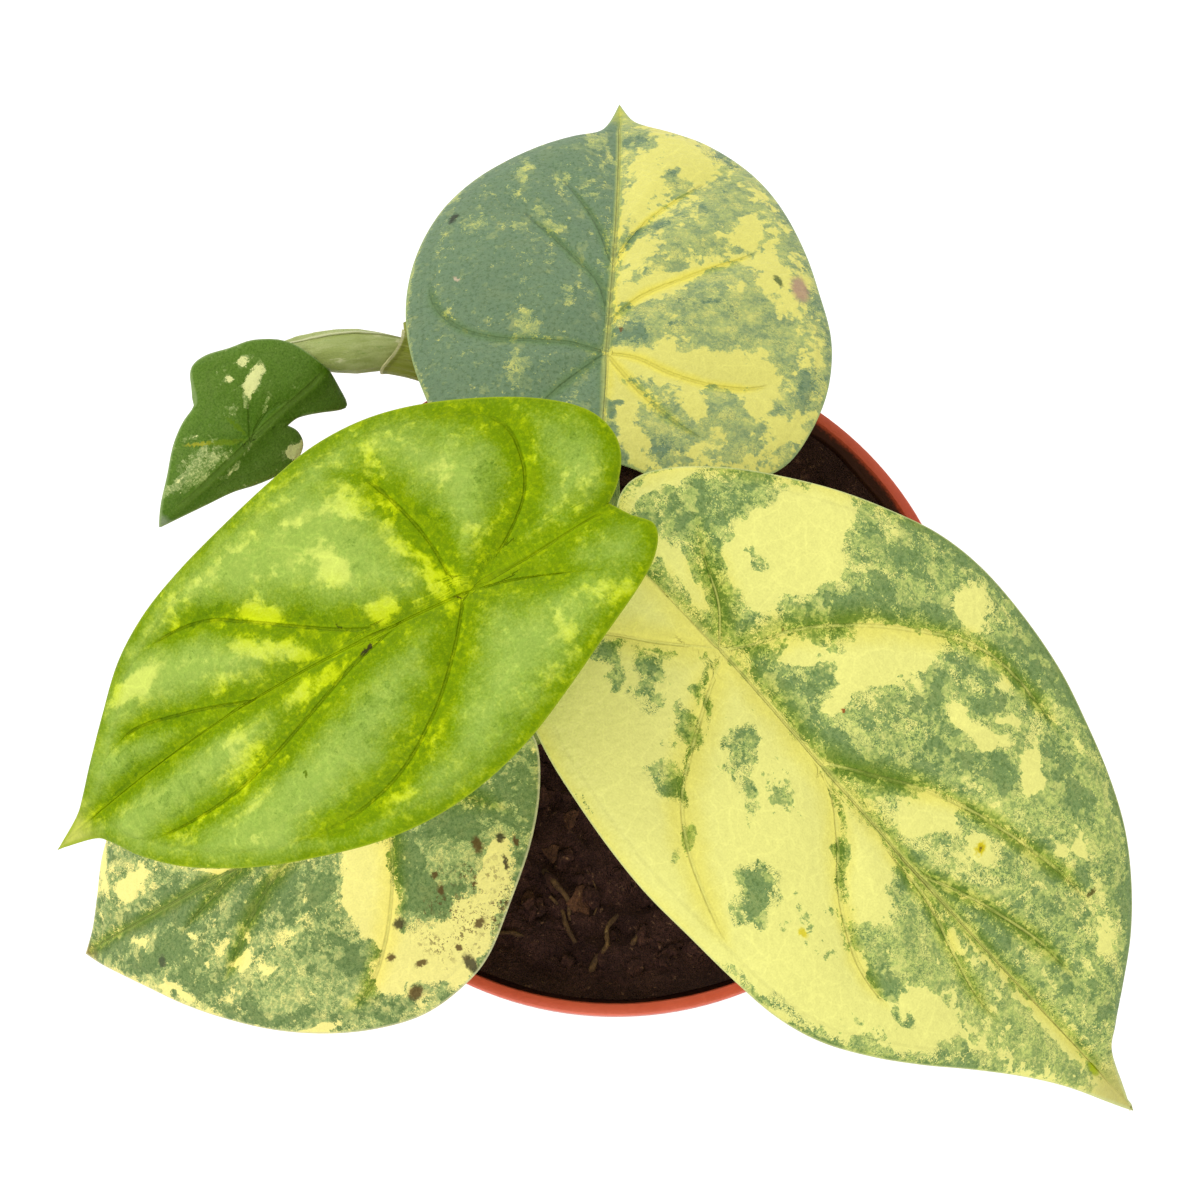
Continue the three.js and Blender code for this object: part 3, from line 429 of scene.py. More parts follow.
# %% Patches of each leaf
KINDS = {"cream": (-1, -1), "lime": (-0.8, 1), "grey": (1, -0.6), "green": (1, 1)}
GROUND = {   # pigment where no patch lies, left and right of the midrib
    "back": ((1.1, 1.2), (-0.7, -0.05)),
    "left": ((-0.9, 1.0), (-0.85, 0.9)),
    "right": ((-0.25, 0.05), (-0.85, -0.7)),
    "low": ((0.3, 0.45), (0.2, 0.3)),
    "small": ((1.6, 1.3), (1.6, 1.3)),
}
PATCHES = {
    "back": {
        "lime": [(1.9, -6, 14.5, 3.5, 1.8, 20), (2.2, 0, 15.5, 2.4, 1.2, 0), (2.4, 5.5, 13, 3.0, 1.8, -60),
            (1.8, 11, 7, 1.2, 1, 0), (1.8, 14.3, 7.2, 1.2, 1, 0), (2.6, 31.5, 11.5, 3.4, 1.1, 60),
            (1.6, 33, 17, 2.4, 1.6, 0), (1.4, 33, 23.5, 3, 2, 0), (2.2, 50.5, 15.8, 4.8, 1.3, 0),
            (1.9, 44.5, 16, 2, 1.2, 0), (1.4, 49, 10.5, 3, 2, 0), (1.4, 46, 4.5, 4, 2, 0), (1.7, 57, 2.6, 6, 1.6, 0),
            (1.2, 27, 1.6, 9, 0.8, 0), (1.3, 62, 4, 5, 2.5, -30), (1.1, 38, 14, 3, 1.2, 40),
            (0.9, -8, 4, 3, 1.4, 30), (1.2, 45, 26.6, 4, 0.8, -25), (1.0, -16, -11, 6, 3, 20),
            (1.2, -11, -19, 5, 3, 0), (0.8, -16, -21, 5, 4, -20), (0.9, 2, -29, 6, 2.4, 0), (1.1, 9, -18, 7, 11, 0),
            (0.8, 20, -19, 6, 3, -60), (0.8, 29, -14, 8, 4, -50), (0.7, 32, -30, 7, 1.6, 10),
            (1.1, 43, -20, 8, 4.5, -15), (0.8, 53, -23, 7, 1.8, 30)],
        "cream": [(1.0, 31, 10, 1.4, 0.6, 50), (1.2, 51, 16, 2.6, 0.6, 0), (1.3, -12, -3.2, 9, 1.2, 12),
            (1.2, -11, -14.2, 4, 1.6, 0), (1.0, -10, -25.5, 5, 1.6, 5), (1.5, -2.5, -12, 11, 4.2, 86),
            (0.9, -16, -28, 4, 1.4, -20), (1.4, 18.5, -9.5, 9, 2.6, -56), (1.0, 27, -4.5, 6, 1.6, -15),
            (1.2, 24, -27, 5, 2.2, 0), (1.0, 33, -22.6, 5, 3, -20), (1.0, 46, -5, 10, 2.4, -5),
            (1.3, 57, -12.6, 8, 3.2, 12), (0.9, 47, -25, 4, 1.2, 15)],
        "green": [(1.3, -14, -1.2, 9, 0.7, 10), (1.1, -20, -9.6, 4, 2, 20), (0.7, -9, -28.6, 1.6, 0.8, 0),
            (1.3, -5, -33.4, 3.4, 1.5, -25), (0.8, 10, -34.6, 1.6, 0.9, 0), (0.9, 15, -35, 1.2, 0.7, 0),
            (1.4, 4.6, -3.8, 2.2, 1.9, -40), (1.2, 9.6, -4.2, 3.6, 1.3, -30), (1.4, 6.2, -13, 4.6, 1.3, 82),
            (1.6, 13.2, -15, 4.8, 1.7, 84), (1.1, 10, -21.6, 4.2, 1.5, 8), (0.8, 5, -27, 2.6, 1.2, 0),
            (0.8, 13, -27, 2.6, 1.4, 20), (1.4, 31.5, -5.6, 3.2, 1.5, -40), (1.3, 36.4, -10, 3.4, 1.6, -40),
            (0.9, 30, -2.6, 2.6, 0.8, 0), (1.2, 39.6, -16.4, 2.8, 1.3, 0), (1.3, 45, -19.6, 4.2, 1.7, -15),
            (1.0, 49, -10.4, 2.8, 1.2, 0), (1.4, 62.5, -4.6, 3.4, 2.4, 20), (1.1, 20.6, -28.3, 1.2, 0.8, 20)],
        "grey": [(1.2, 57, -19, 6, 1.6, 35)],
    },
    "left": {
        "cream": [(2.2, 12, -4.7, 3.4, 1.9, -18), (2.2, 15.2, -13.5, 1.9, 3.2, 0), (2.0, 27.2, -13.2, 2.1, 1.9, 20),
            (1.3, 41, 4.4, 4.4, 2.0, 12), (2.2, 49.6, -14, 5, 1.6, 8), (1.3, 26, 1.2, 5, 1.3, 12),
            (1.2, 25, -5.2, 4, 1.3, -35), (1.3, 31, -8.8, 5, 1.4, -32), (1.1, 34, -13.4, 3, 1.1, -30),
            (1.4, 4.4, -9, 1.2, 7, 6), (1.2, 1.8, -3, 3.4, 1.6, -40), (1.0, -8, -6.6, 5, 1.3, 30),
            (1.3, 9.6, -20.4, 3, 3.2, 10), (1.1, 3, -22, 1.6, 2.4, 0), (1.0, 16, -22, 2.2, 1.2, 0),
            (0.9, -8.4, 12, 1.8, 5, -6), (1.2, -17, 9.4, 5, 1.6, -12), (1.0, -12.6, 15, 3, 1, 25),
            (1.2, 23, 21.4, 4, 1.2, 0), (1.0, 12, 16.6, 4, 1.3, 25), (0.9, 20, 19.2, 1.6, 0.7, 0),
            (1.0, 33, 14.5, 4, 1.2, 10), (0.9, 38, 9.6, 6, 0.9, 6), (0.9, 54, 9.2, 4, 1.2, -15),
            (0.9, 44, 13.4, 2.4, 1.2, -30), (0.8, -22, -5, 3, 1.6, 40), (0.9, -7, -16, 2.6, 1.4, 20),
            (1.0, 30, -21.4, 8, 0.9, 14), (0.8, 42, -20, 5, 0.9, 15), (0.9, 38, -7, 3.4, 0.8, -10),
            (0.8, 72, -0.6, 6, 2, 0)],
        "green": [(1.0, 57, -4, 7, 2.6, 0), (0.8, 46, -5.6, 6, 1.5, -6), (0.9, 20, 8.6, 7, 3.4, 32),
            (0.8, 36, 12.6, 6, 2, 0), (0.7, -11, -13, 4.4, 4, 0), (0.7, 21, -9.6, 3.4, 2.8, -30),
            (0.8, 33, -17.6, 6, 2, 10), (0.7, 10.6, -14, 1.8, 4, 0), (0.7, -24, -11, 3, 3.4, 0),
            (0.8, 38, -12.6, 5, 1.6, 0), (0.7, 54, 3.4, 6, 2, 0), (0.6, 6, 21, 6, 1.6, 20),
            (0.7, -2, -13, 2.6, 5, 10)],
    },
    "right": {
        "green": [(1.0, -18, 13, 6, 3.4, 35), (0.9, -13.6, 21, 4.4, 3, 60), (0.9, -8.5, 8.5, 7, 2.2, -48),
            (0.8, -5, 14.3, 2, 1.5, 0), (0.9, -2.5, 4.4, 4, 1.6, -20), (0.9, 8, 17, 11, 2.4, 66),
            (0.6, 6.5, 15.5, 2, 2.2, 0), (0.9, 14.5, 24, 8, 2.8, 42), (0.8, 3.5, 27, 2.6, 3.4, 0),
            (1.0, 11.5, 31, 2.4, 1.8, 0), (0.8, 15, 34.2, 7, 1.6, 8), (1.0, 21.5, 28.2, 3, 2, 30),
            (1.3, 34, 33, 7, 2.4, -12), (1.0, 40.5, 27, 2.2, 3.2, 0), (1.1, 30, 15.5, 8, 4.4, -20),
            (1.0, 26, 20, 1.9, 3, 0), (0.8, 29.5, 25.5, 5, 2.4, 20), (1.3, 35.6, 23.2, 2.4, 2.4, 0),
            (1.9, 44.3, 17.9, 3.4, 2.8, 25), (1.0, 34, 9, 8, 2.8, 42), (1.7, 24, 2.6, 9, 1.5, 10),
            (1.1, 14.3, 6.6, 3.4, 2.6, 20), (0.9, 8, 2.9, 4.5, 1.4, 12), (0.9, 12.8, 12.2, 1.4, 1.2, 0),
            (1.4, 53.4, 24, 5.6, 3.2, -24), (1.0, 60, 24.6, 4, 1.8, -20), (1.1, 58.5, 15.6, 2.8, 1.3, 20),
            (1.3, 66.4, 17, 2.8, 1.5, 0), (0.9, 56, 8.6, 3.6, 2, 20), (1.1, 61.6, 11.8, 2.2, 1.6, 0),
            (0.8, 68, 8.4, 5, 2.6, 0), (1.1, 62, 4, 5.4, 1.5, 14), (1.0, 75, 5.4, 5, 2.2, -10),
            (1.1, 57, -0.4, 19, 2, 2), (1.0, 70, 21.4, 9, 2, -37), (0.7, 84, 6.5, 5, 2, -45),
            (0.8, 42, 33.5, 10, 1.5, -14), (0.9, 49.6, 27.6, 3.4, 1.3, -10), (0.7, 45, 8, 3.2, 1.6, 30),
            (0.8, 38, 30.8, 2.4, 2.4, 0), (2.0, -12, -12.4, 1.8, 2.2, 0), (1.6, -9, -15.2, 1.1, 1, 0),
            (1.5, -6, -9.8, 2.6, 1.9, 10), (1.1, -3.4, -14.2, 3, 2.4, 0), (1.2, -13.4, -4, 1.2, 0.8, 0),
            (1.4, 1.8, -5.6, 2.4, 0.7, -65), (1.3, 5.2, -7, 2.6, 0.9, -55), (1.5, 4.2, -12.8, 2.6, 1.4, -50),
            (1.2, 8, -15.6, 6, 0.9, -60), (1.8, 8.8, -21.4, 3.4, 1.5, -10), (1.3, 15.8, -25.8, 2.2, 1.3, -50),
            (1.4, 13.5, -9.6, 4.2, 1.9, -55), (1.3, 18.2, -13.4, 1.8, 1.3, -30), (1.1, 29, -4.4, 2.4, 0.8, -25),
            (1.3, 34.4, -8.8, 2.4, 1.4, -30), (1.6, 38, -11.2, 2.6, 1.2, -50), (1.9, 45, -6.2, 3.4, 1.7, -25),
            (1.5, 53, -6.6, 4, 2.4, -15), (1.1, 48.6, -10.2, 3.4, 1.4, 0), (1.5, 46.4, -14.8, 3.2, 1.9, 20),
            (2.2, 52.6, -16.8, 2.7, 2.1, 0), (1.2, 57, -12.5, 4, 1.8, 20), (1.3, 59.5, -19.4, 2.6, 0.9, 0),
            (1.0, 67, -7.4, 3, 1.4, 0), (1.3, 68.2, -11.5, 1.5, 0.9, 0), (1.0, 52, -3.4, 22, 0.7, -2),
            (0.7, 1, -31.6, 1.4, 0.8, 0)],
        "lime": [(0.9, 50, 16, 9, 2.6, 20), (0.9, 60, 28.4, 13, 2, -27), (1.0, -5, -5, 4, 1, 30),
            (1.1, 21.5, -11, 3.4, 3, 0), (1.3, 68, -9, 12, 4.4, 0), (1.4, 84, -5.6, 9, 2.8, 15),
            (0.9, 57, -25, 5, 3, 30), (0.5, 38, -20, 6, 4, 0), (1.1, 52, -13, 8, 5, 10)],
        "cream": [(1.7, -3.6, 20.6, 7.6, 7.4, 20), (1.5, -4, 11, 6, 1.8, -20), (1.8, 23.8, 33, 3.4, 2.8, 0),
            (2.0, 19.4, 18, 8, 4, 52), (1.7, 36, 19.2, 6.4, 1.3, 12), (1.4, 39.6, 24.6, 4, 1.2, 44),
            (1.7, 48.6, 21.6, 4, 2.4, -50), (1.3, 34.6, 27.2, 2.2, 1.4, 30), (1.3, 62, 17.6, 2.6, 1.6, 0),
            (1.0, 42, 5.6, 6, 2.2, 35), (0.9, 76, 12, 4, 1.2, -20), (1.0, -23, 14, 2, 7, -15),
            (1.1, -14, 3.4, 8, 1.6, -5), (0.9, 10, 8.4, 3.4, 1.2, 40), (1.0, 53, 31, 4, 1.2, -15),
            (1.1, 18, 8.6, 2, 3, 0), (0.9, 50.6, 7.8, 2, 2.8, 0), (0.9, 58, 20.4, 3.4, 1.1, -20),
            (1.3, -12, -3.6, 10, 1.6, -6)],
        "grey": [(1.8, 26.5, -21.6, 2.8, 2.2, 20), (2.1, 29.8, -24.6, 2.4, 2.8, 0), (1.3, 70.5, -16.6, 5, 1.5, 40),
            (1.0, 45, -31.6, 10, 1, 12)],
    },
    "low": {
        "cream": [(2.1, 9, 16.5, 11, 4.2, 84), (2.0, -3, 28.6, 9.6, 5.2, 10), (1.4, -13.5, 20.6, 4.4, 2.4, 50),
            (1.5, 9, 28.6, 4, 3.6, 0), (1.5, 35, 15, 3.2, 1.5, 20), (1.6, 21.4, 11.2, 1.5, 1.0, 20),
            (1.5, 29, 22, 1.2, 1.2, 0), (1.7, 44.4, 7.8, 1.7, 1.2, 0), (1.6, 54.6, 4.8, 2.4, 0.8, 10),
            (1.3, 36, -0.6, 4, 0.9, -12), (1.7, 53, -6, 4.8, 2, -5), (1.4, 52, 14, 6, 1.3, -35),
            (1.2, 28, 32, 7, 0.9, -14), (1.1, 40.5, 20.6, 3, 0.9, -20), (1.2, 33, 18.6, 2.2, 0.9, 10),
            (1.2, 58, -10.5, 4, 1.4, 50), (1.1, 31.8, 13, 1, 0.8, 0), (1.1, 25, 16.4, 1.3, 1, 0),
            (1.0, 38.6, 12, 1, 0.8, 0), (1.1, -17, 5, 1.4, 1.2, 0), (1.4, 20, -14, 9, 4, -50),
            (1.2, -6, -16, 8, 5, 40)],
        "green": [(1.7, 0, 17, 2.6, 7, 4), (1.9, -7.6, 10.8, 4, 2, -5), (0.9, -18, 10, 5, 5, 30),
            (3.0, 15.5, 24.6, 2.6, 3.0, 20), (0.9, 27, 10, 8, 5, 10), (1.3, 17, 12.4, 3, 1.8, 30),
            (1.5, 50, 2.2, 15, 2, -2), (1.8, 50, 8.4, 7, 2.6, -14), (0.9, 46, -4, 5, 1.5, -10),
            (1.0, 39, 23.4, 7, 2, -32), (0.8, 32, 27.4, 5, 2, -20), (0.8, 45, 15, 4, 2, -30),
            (0.8, 8, -20, 7, 5, -60), (0.7, 36, -14, 9, 5, -30)],
        "lime": [(1.7, -6.5, 16, 3, 2.6, 0), (1.0, 20.6, 28, 6, 3.4, -10), (1.5, 29, 22.6, 5, 3.4, 0),
            (0.8, 38, 18, 5, 1.6, -20)],
    },
    "small": {
        "cream": [(3.4, -4.6, 7.6, 2.9, 1.7, -35), (3.1, -7.3, -7, 3.1, 1.2, 33), (2.8, -4.6, -9.6, 1, 0.8, 50),
            (2.0, -8, -10.8, 1.4, 0.9, 0), (2.2, 6.8, -6.2, 2.6, 0.35, -37), (1.9, 6.3, 1.4, 1.3, 0.5, 20),
            (3.0, 13, -3.2, 4.5, 0.5, 4), (2.6, 9.5, -1.9, 3, 0.35, 2)],
        "lime": [(2.2, -6, -2.9, 2.2, 0.5, 25), (1.9, -4, -5.2, 1.5, 0.5, 30), (2.0, 10, -0.6, 1.2, 0.6, 0),
            (2.6, 11, -2.7, 6.5, 1.3, 2), (2.2, 8, -1.2, 5, 0.7, 0), (2.2, 10, -4.8, 5, 0.7, -10),
            (2.4, -1, -5.6, 1.4, 1.0, 20), (1.6, 3, 0.4, 8, 0.6, 5), (1.5, 5.5, 5.5, 1.6, 0.7, -30)],
    },
}
HEMS = {
    "back": [("lime", 2.2, "left", -26, 66, 0.7), ("green", 0.7, "right", -10, 66, 1.6)],
    "left": [],
    "right": [("green", 1.7, "left", 2, 90, 1.7), ("green", 1.5, "right", 46, 80, 1.5)],
    "low": [("cream", 1.0, "left", 20, 68, 0.9), ("green", 0.7, "left", -26, 0, 1.6),
            ("cream", 0.8, "right", 45, 68, 0.9)],
    "small": [("lime", 1.0, "right", -18, 20, 0.4)],
}


def strayed(points, share):
    """Flat points pushed about by two sizes of noise, so that a patch's outline is ragged."""
    def push(u, v, layer):
        coarse = noise.noise(Vector((u * 0.17, v * 0.17, layer)))
        return 2.6 * coarse + 1.5 * noise.noise(Vector((u * 0.45, v * 0.45, layer + 5)))

    return np.array([(u + share * push(u, v, 1.3), v + share * push(u, v, 11.7)) for u, v in points])


def painted(leaf_name, side, points, rim):
    """The two pigment fields at flat points, rim millimetres in from the margin."""
    points = strayed(points, 0.35 if leaf_name == "small" else 1.0)
    field = np.tile(GROUND[leaf_name][0 if side == "left" else 1], (len(points), 1)).astype(float)
    for kind, patches in PATCHES[leaf_name].items():
        for strength, u, v, long, wide, turn in patches:
            c, s = math.cos(math.radians(turn)), math.sin(math.radians(turn))
            du, dv = points[:, 0] - u, points[:, 1] - v
            reach = ((du * c + dv * s) / long) ** 2 + ((dv * c - du * s) / wide) ** 2
            field += strength * np.exp(-0.9 * reach ** 1.5)[:, None] * np.array(KINDS[kind])
    for kind, strength, on, first, last, width in HEMS[leaf_name]:
        if on == side:
            within = np.clip((points[:, 0] - first) / 5, 0, 1) * np.clip((last - points[:, 0]) / 5, 0, 1)
            field += (strength * within * np.exp(-(rim / width) ** 2))[:, None] * np.array(KINDS[kind])
    return field


# %% [markdown]
# ## Laying a blade
#
# A half blade's corners run along s and t on the rays, are bent, and are raised
# into domes between the veins. The veins and the midrib are sunken creases. The
# two halves are joined, their doubles merged, and Solidify gives the blade its
# thickness, which thins towards the margin. What the finish needs to know is
# stored on the corners: the flat place and the dome, the vein lattice, the
# distances to a vein, the midrib and the margin, and the pigment.

# %% Shaping one half
CREASE = {"back": 0.025, "left": 0.24, "right": 0.15, "low": 0.15, "small": 0.07}     # depth of the side veins
DOME_REACH = 4.5        # how far a dome takes to rise from a vein


def relief(leaf, depth, share, vein, rib, rim):
    near = np.minimum(vein, rib)
    dome = (1 - np.exp(-(near / DOME_REACH) ** 2)) * (1 - share ** 6)
    crease = depth * np.exp(-(vein / 0.9) ** 2) + 1.3 * depth * np.exp(-(rib / 1.1) ** 2)
    crease = crease * np.clip(rim / 4, 0, 1)
    hem = 0.12 * np.exp(-((rim - 2.6) / 0.8) ** 2)
    return dome, leaf["puff"] * dome - (crease + hem) * leaf["thick"]


def half_blade(name, leaf, side, cells):
    stored = {}

    def rule(s, t):
        flat = rays(leaf, side, s, t)
        number, spacing = lattice(leaf, side, flat)
        vein = np.min([to_vein(flat, vein) for vein in leaf["veins"]], axis=0)
        outline = np.vstack([dense(leaf["left"], 160), dense(leaf["right"], 160)[::-1]])
        rim = np.where(t > 1 - 1e-6, 0, to_line(flat, outline)[0])
        across = flat[:, 1] - midrib(leaf, flat[:, 0])
        dome, rise = relief(leaf, CREASE[name], t, vein, np.hypot(across, np.maximum(0, -flat[:, 0])), rim)
        stored.update(flat=np.column_stack([flat, dome]), flow=np.column_stack([number, spacing, np.abs(across)]),
                      near=np.column_stack([vein, across, rim]),
                      pigment=np.column_stack([painted(name, side, flat, rim), t]))
        out = blade_normal(leaf, flat[:, 0], flat[:, 1])
        return placed(leaf, bend(leaf, flat[:, 0], flat[:, 1]) + out * rise[:, None])

    half = sheet(name + "_" + side, *cells, rule)
    for key, values in stored.items():
        store(half, key, values)
    body = half.vertex_groups.new(name="body")
    for i, share in enumerate(np.clip(stored["near"][:, 2] / 3, 0, 1) ** 0.6):
        body.add([i], float(share), "REPLACE")
    if side == "left":
        edited(half, bpy.ops.mesh.flip_normals)
    return half


# %% Joining, thickening, smoothing
def blade(name, cells):
    leaf = LEAVES[name]
    piece = joined(name + "_blade", [half_blade(name, leaf, side, cells) for side in ("left", "right")])
    welded(piece, 0.02, outward=False)
    thickened(piece, leaf["thick"], offset=-1, vertex_group="body", thickness_vertex_group=0.45, material_offset=1,
              material_offset_rim=2)
    return placed_in(piece, name + "_leaf", name + "_leaf")


blades = {name: blade(name, (70, 26) if name == "small" else (150, 44)) for name in LEAVES}

# %% [markdown]
# ## Finishes
#
# A finish is written as sums on sockets. Tone wraps a socket: arithmetic on it
# adds Math nodes, and node() adds any other kind.

# %% A socket that does sums
class Tone:
    def __init__(self, tree, socket=None):
        self.tree, self.socket = tree, socket

    def node(self, kind, settings=None, sockets=None, out=0):
        node = self.tree.nodes.new("ShaderNode" + kind)
        for name, value in (settings or {}).items():
            setattr(node, name, value)
        for name, value in (sockets or {}).items():
            if isinstance(value, Tone):
                self.tree.links.new(value.socket, node.inputs[name])
            else:
                node.inputs[name].default_value = value
        return Tone(self.tree, node.outputs[out])

    def math(self, operation, other=0.0, after=False):
        """A sum on this and another, which comes first if this one comes after."""
        pair = (other, self) if after else (self, other)
        return self.node("Math", {"operation": operation}, dict(enumerate(pair)))

    def __add__(self, other): return self.math("ADD", other)
    def __radd__(self, other): return self.math("ADD", other, after=True)
    def __sub__(self, other): return self.math("SUBTRACT", other)
    def __rsub__(self, other): return self.math("SUBTRACT", other, after=True)
    def __mul__(self, other): return self.math("MULTIPLY", other)
    def __rmul__(self, other): return self.math("MULTIPLY", other, after=True)
    def __truediv__(self, other): return self.math("DIVIDE", other)
    def __abs__(self): return self.math("ABSOLUTE")

    def step(self, low, high):
        """0 below low, 1 above high, smooth between."""
        return self.node("MapRange", {"interpolation_type": "SMOOTHSTEP"}, {
            "Value": self, "From Min": low, "From Max": high})

    def mix(self, a, b):
        """Colour a where this is 0, b where it is 1. Plain colours are given as they look on a screen."""
        a, b = (colour(*c) if isinstance(c, tuple) else c for c in (a, b))
        return self.node("Mix", {"data_type": "RGBA"}, {0: self, 6: a, 7: b}, out=2)

    def parts(self):
        split = self.node("SeparateXYZ", {}, {0: self})
        return [Tone(self.tree, socket) for socket in split.socket.node.outputs]

    def read(self, name):
        """The three numbers stored on the corners under this name."""
        return self.node("Attribute", {"attribute_name": name}, out=1).parts()

    def point(self, x, y, z=0.0):
        return self.node("CombineXYZ", {}, {0: x, 1: y, 2: z})

    def moved(self, by):
        return self.node("VectorMath", {"operation": "ADD"}, {0: self, 1: by})

    def scaled(self, share):
        return self.node("VectorMath", {"operation": "SCALE"}, {0: self, "Scale": share})

    def wobbled(self, scale, reach):
        """This place, pushed about by up to half the reach, for borders that aren't straight."""
        push = self.node("TexNoise", {}, {"Vector": self, "Scale": scale, "Detail": 2}, out=1)
        return self.moved(push.moved((-0.5, -0.5, -0.5)).scaled(reach))

    def noise(self, scale, detail=2, roughness=0.5, distortion=0):
        """Noise about zero, from about -1 to 1, on this place."""
        raw = self.node("TexNoise", {}, {"Vector": self, "Scale": scale, "Detail": detail, "Roughness": roughness,
                                         "Distortion": distortion})
        return (raw - 0.5) * 3

    def cells(self, scale):
        """Three random numbers, the same all over each cell."""
        return self.node("TexVoronoi", {}, {"Vector": self, "Scale": scale}, out=1).parts()


def colour(red, green, blue):
    """A colour given as it looks on a screen, 0 to 255, as Blender wants it."""
    return *(((c / 255 + 0.055) / 1.055) ** 2.4 if c > 10 else c / 255 / 12.92 for c in (red, green, blue)), 1.0


def between(a, b, share):
    return tuple(x + (y - x) * share for x, y in zip(a, b))


def finish(name, **constants):
    """A new material, with its constant values set on the shader: the place to start, and the shader."""
    material = bpy.data.materials.new(name)
    material.use_nodes = True
    shader = material.node_tree.nodes["Principled BSDF"]
    for key, value in constants.items():
        shader.inputs[key.replace("_", " ")].default_value = value
    return material, Tone(material.node_tree), shader


def feed(tone, shader, socket):
    tone.tree.links.new(tone.socket, shader.inputs[socket])


def surfaced(shader, tint, value, roughness, height, depth, saturation=1.0):
    """Feed a shader its tint, made lighter or darker by a value that may vary, its roughness, and low relief
    whose height from 0 to 1 stands for this depth in metres."""
    tint = tint.node("HueSaturation", {}, {"Saturation": saturation, "Value": value, "Color": tint})
    feed(tint, shader, "Base Color")
    feed(roughness, shader, "Roughness")
    feed(height.node("Bump", {}, {"Strength": 1.0, "Distance": depth, "Height": height}), shader, "Normal")


# %% Leaf tones
# Each kind of tissue has its own colour in the troughs along the veins, and a paler, greyer one on the domes: a painted
# sheen, where the domes catch the light.
# crease sets the painted shade in the side veins' creases, and vein the painted highlight line beside them.
TONES = {
    "back": dict(bare=(224, 214, 98), bare_painted_sheen=(218, 213, 120), lime=(156, 170, 84), lime_painted_sheen=(170, 181, 112),
                 green=(98, 125, 84), green_painted_sheen=(108, 132, 102), rib=(212, 214, 124), edge=(146, 166, 112),
                 tip=(190, 192, 86), ragged=0.8, worms=1.2, threads=0.8, soft=0.25, spread=1.3, painted_sheen=0.95, gloss=0.12,
                 crease=0.08, vein=0.04, net=0.05, deep=0.3, tail=0.86, cloud=0.5, speck=0.22, pale=0.0, hem=9,
                 fine=1.0),
    "left": dict(bare=(196, 212, 50), bare_painted_sheen=(204, 218, 108), lime=(112, 141, 0), lime_painted_sheen=(154, 180, 82),
                 green=(94, 126, 0), green_painted_sheen=(138, 166, 72), rib=(150, 178, 10), edge=(152, 170, 52),
                 tip=(196, 200, 104), ragged=0.9, worms=0.8, threads=0.35, soft=0.85, spread=7.5, painted_sheen=1.0, gloss=0.05,
                 crease=0.2, vein=0.1, net=0.09, deep=0.45, tail=0.86, cloud=0.14, speck=0.15, pale=0.0, hem=1.2,
                 fine=1.2),
    "right": dict(bare=(228, 221, 116), bare_painted_sheen=(230, 228, 138), lime=(174, 188, 84), lime_painted_sheen=(188, 202, 116),
                  green=(92, 120, 36), green_painted_sheen=(112, 138, 88), rib=(224, 222, 124), edge=(200, 206, 142),
                  tip=(190, 184, 110), ragged=0.95, worms=1.8, threads=1.0, soft=0.12, spread=3.6, painted_sheen=0.85,
                  gloss=0.15, crease=0.03, vein=0.05, net=0.06, deep=0.8, tail=0.86, cloud=0.5, speck=0.42, pale=0.5,
                  hem=1.4, fine=1.0),
    "low": dict(bare=(244, 230, 128), bare_painted_sheen=(244, 234, 148), lime=(154, 170, 64), lime_painted_sheen=(178, 192, 124),
                green=(80, 108, 34), green_painted_sheen=(106, 130, 80), rib=(160, 178, 92), edge=(212, 208, 162),
                tip=(170, 128, 84), ragged=1.0, worms=1.6, threads=0.8, soft=0.1, spread=3.0, painted_sheen=0.85, gloss=0.15,
                crease=0.08, vein=0.05, net=0.05, deep=0.75, tail=0.94, cloud=0.5, speck=0.42, pale=0.25, hem=9,
                fine=1.1),
    "small": dict(bare=(230, 232, 156), bare_painted_sheen=(232, 234, 164), lime=(136, 160, 84), lime_painted_sheen=(168, 184, 122),
                  green=(70, 106, 8), green_painted_sheen=(100, 134, 48), rib=(122, 154, 62), edge=(142, 164, 104),
                  tip=(134, 146, 114), ragged=0.75, worms=0.8, threads=0.4, soft=0.12, spread=3.0, painted_sheen=0.6,
                  gloss=0.18, crease=0.08, vein=0.03, net=0.04, deep=0.35, tail=0.86, cloud=0.35, speck=0.5, pale=0.0,
                  hem=9, fine=1.9),
}
BROWN, BLACK = (92, 70, 34), (58, 52, 30)
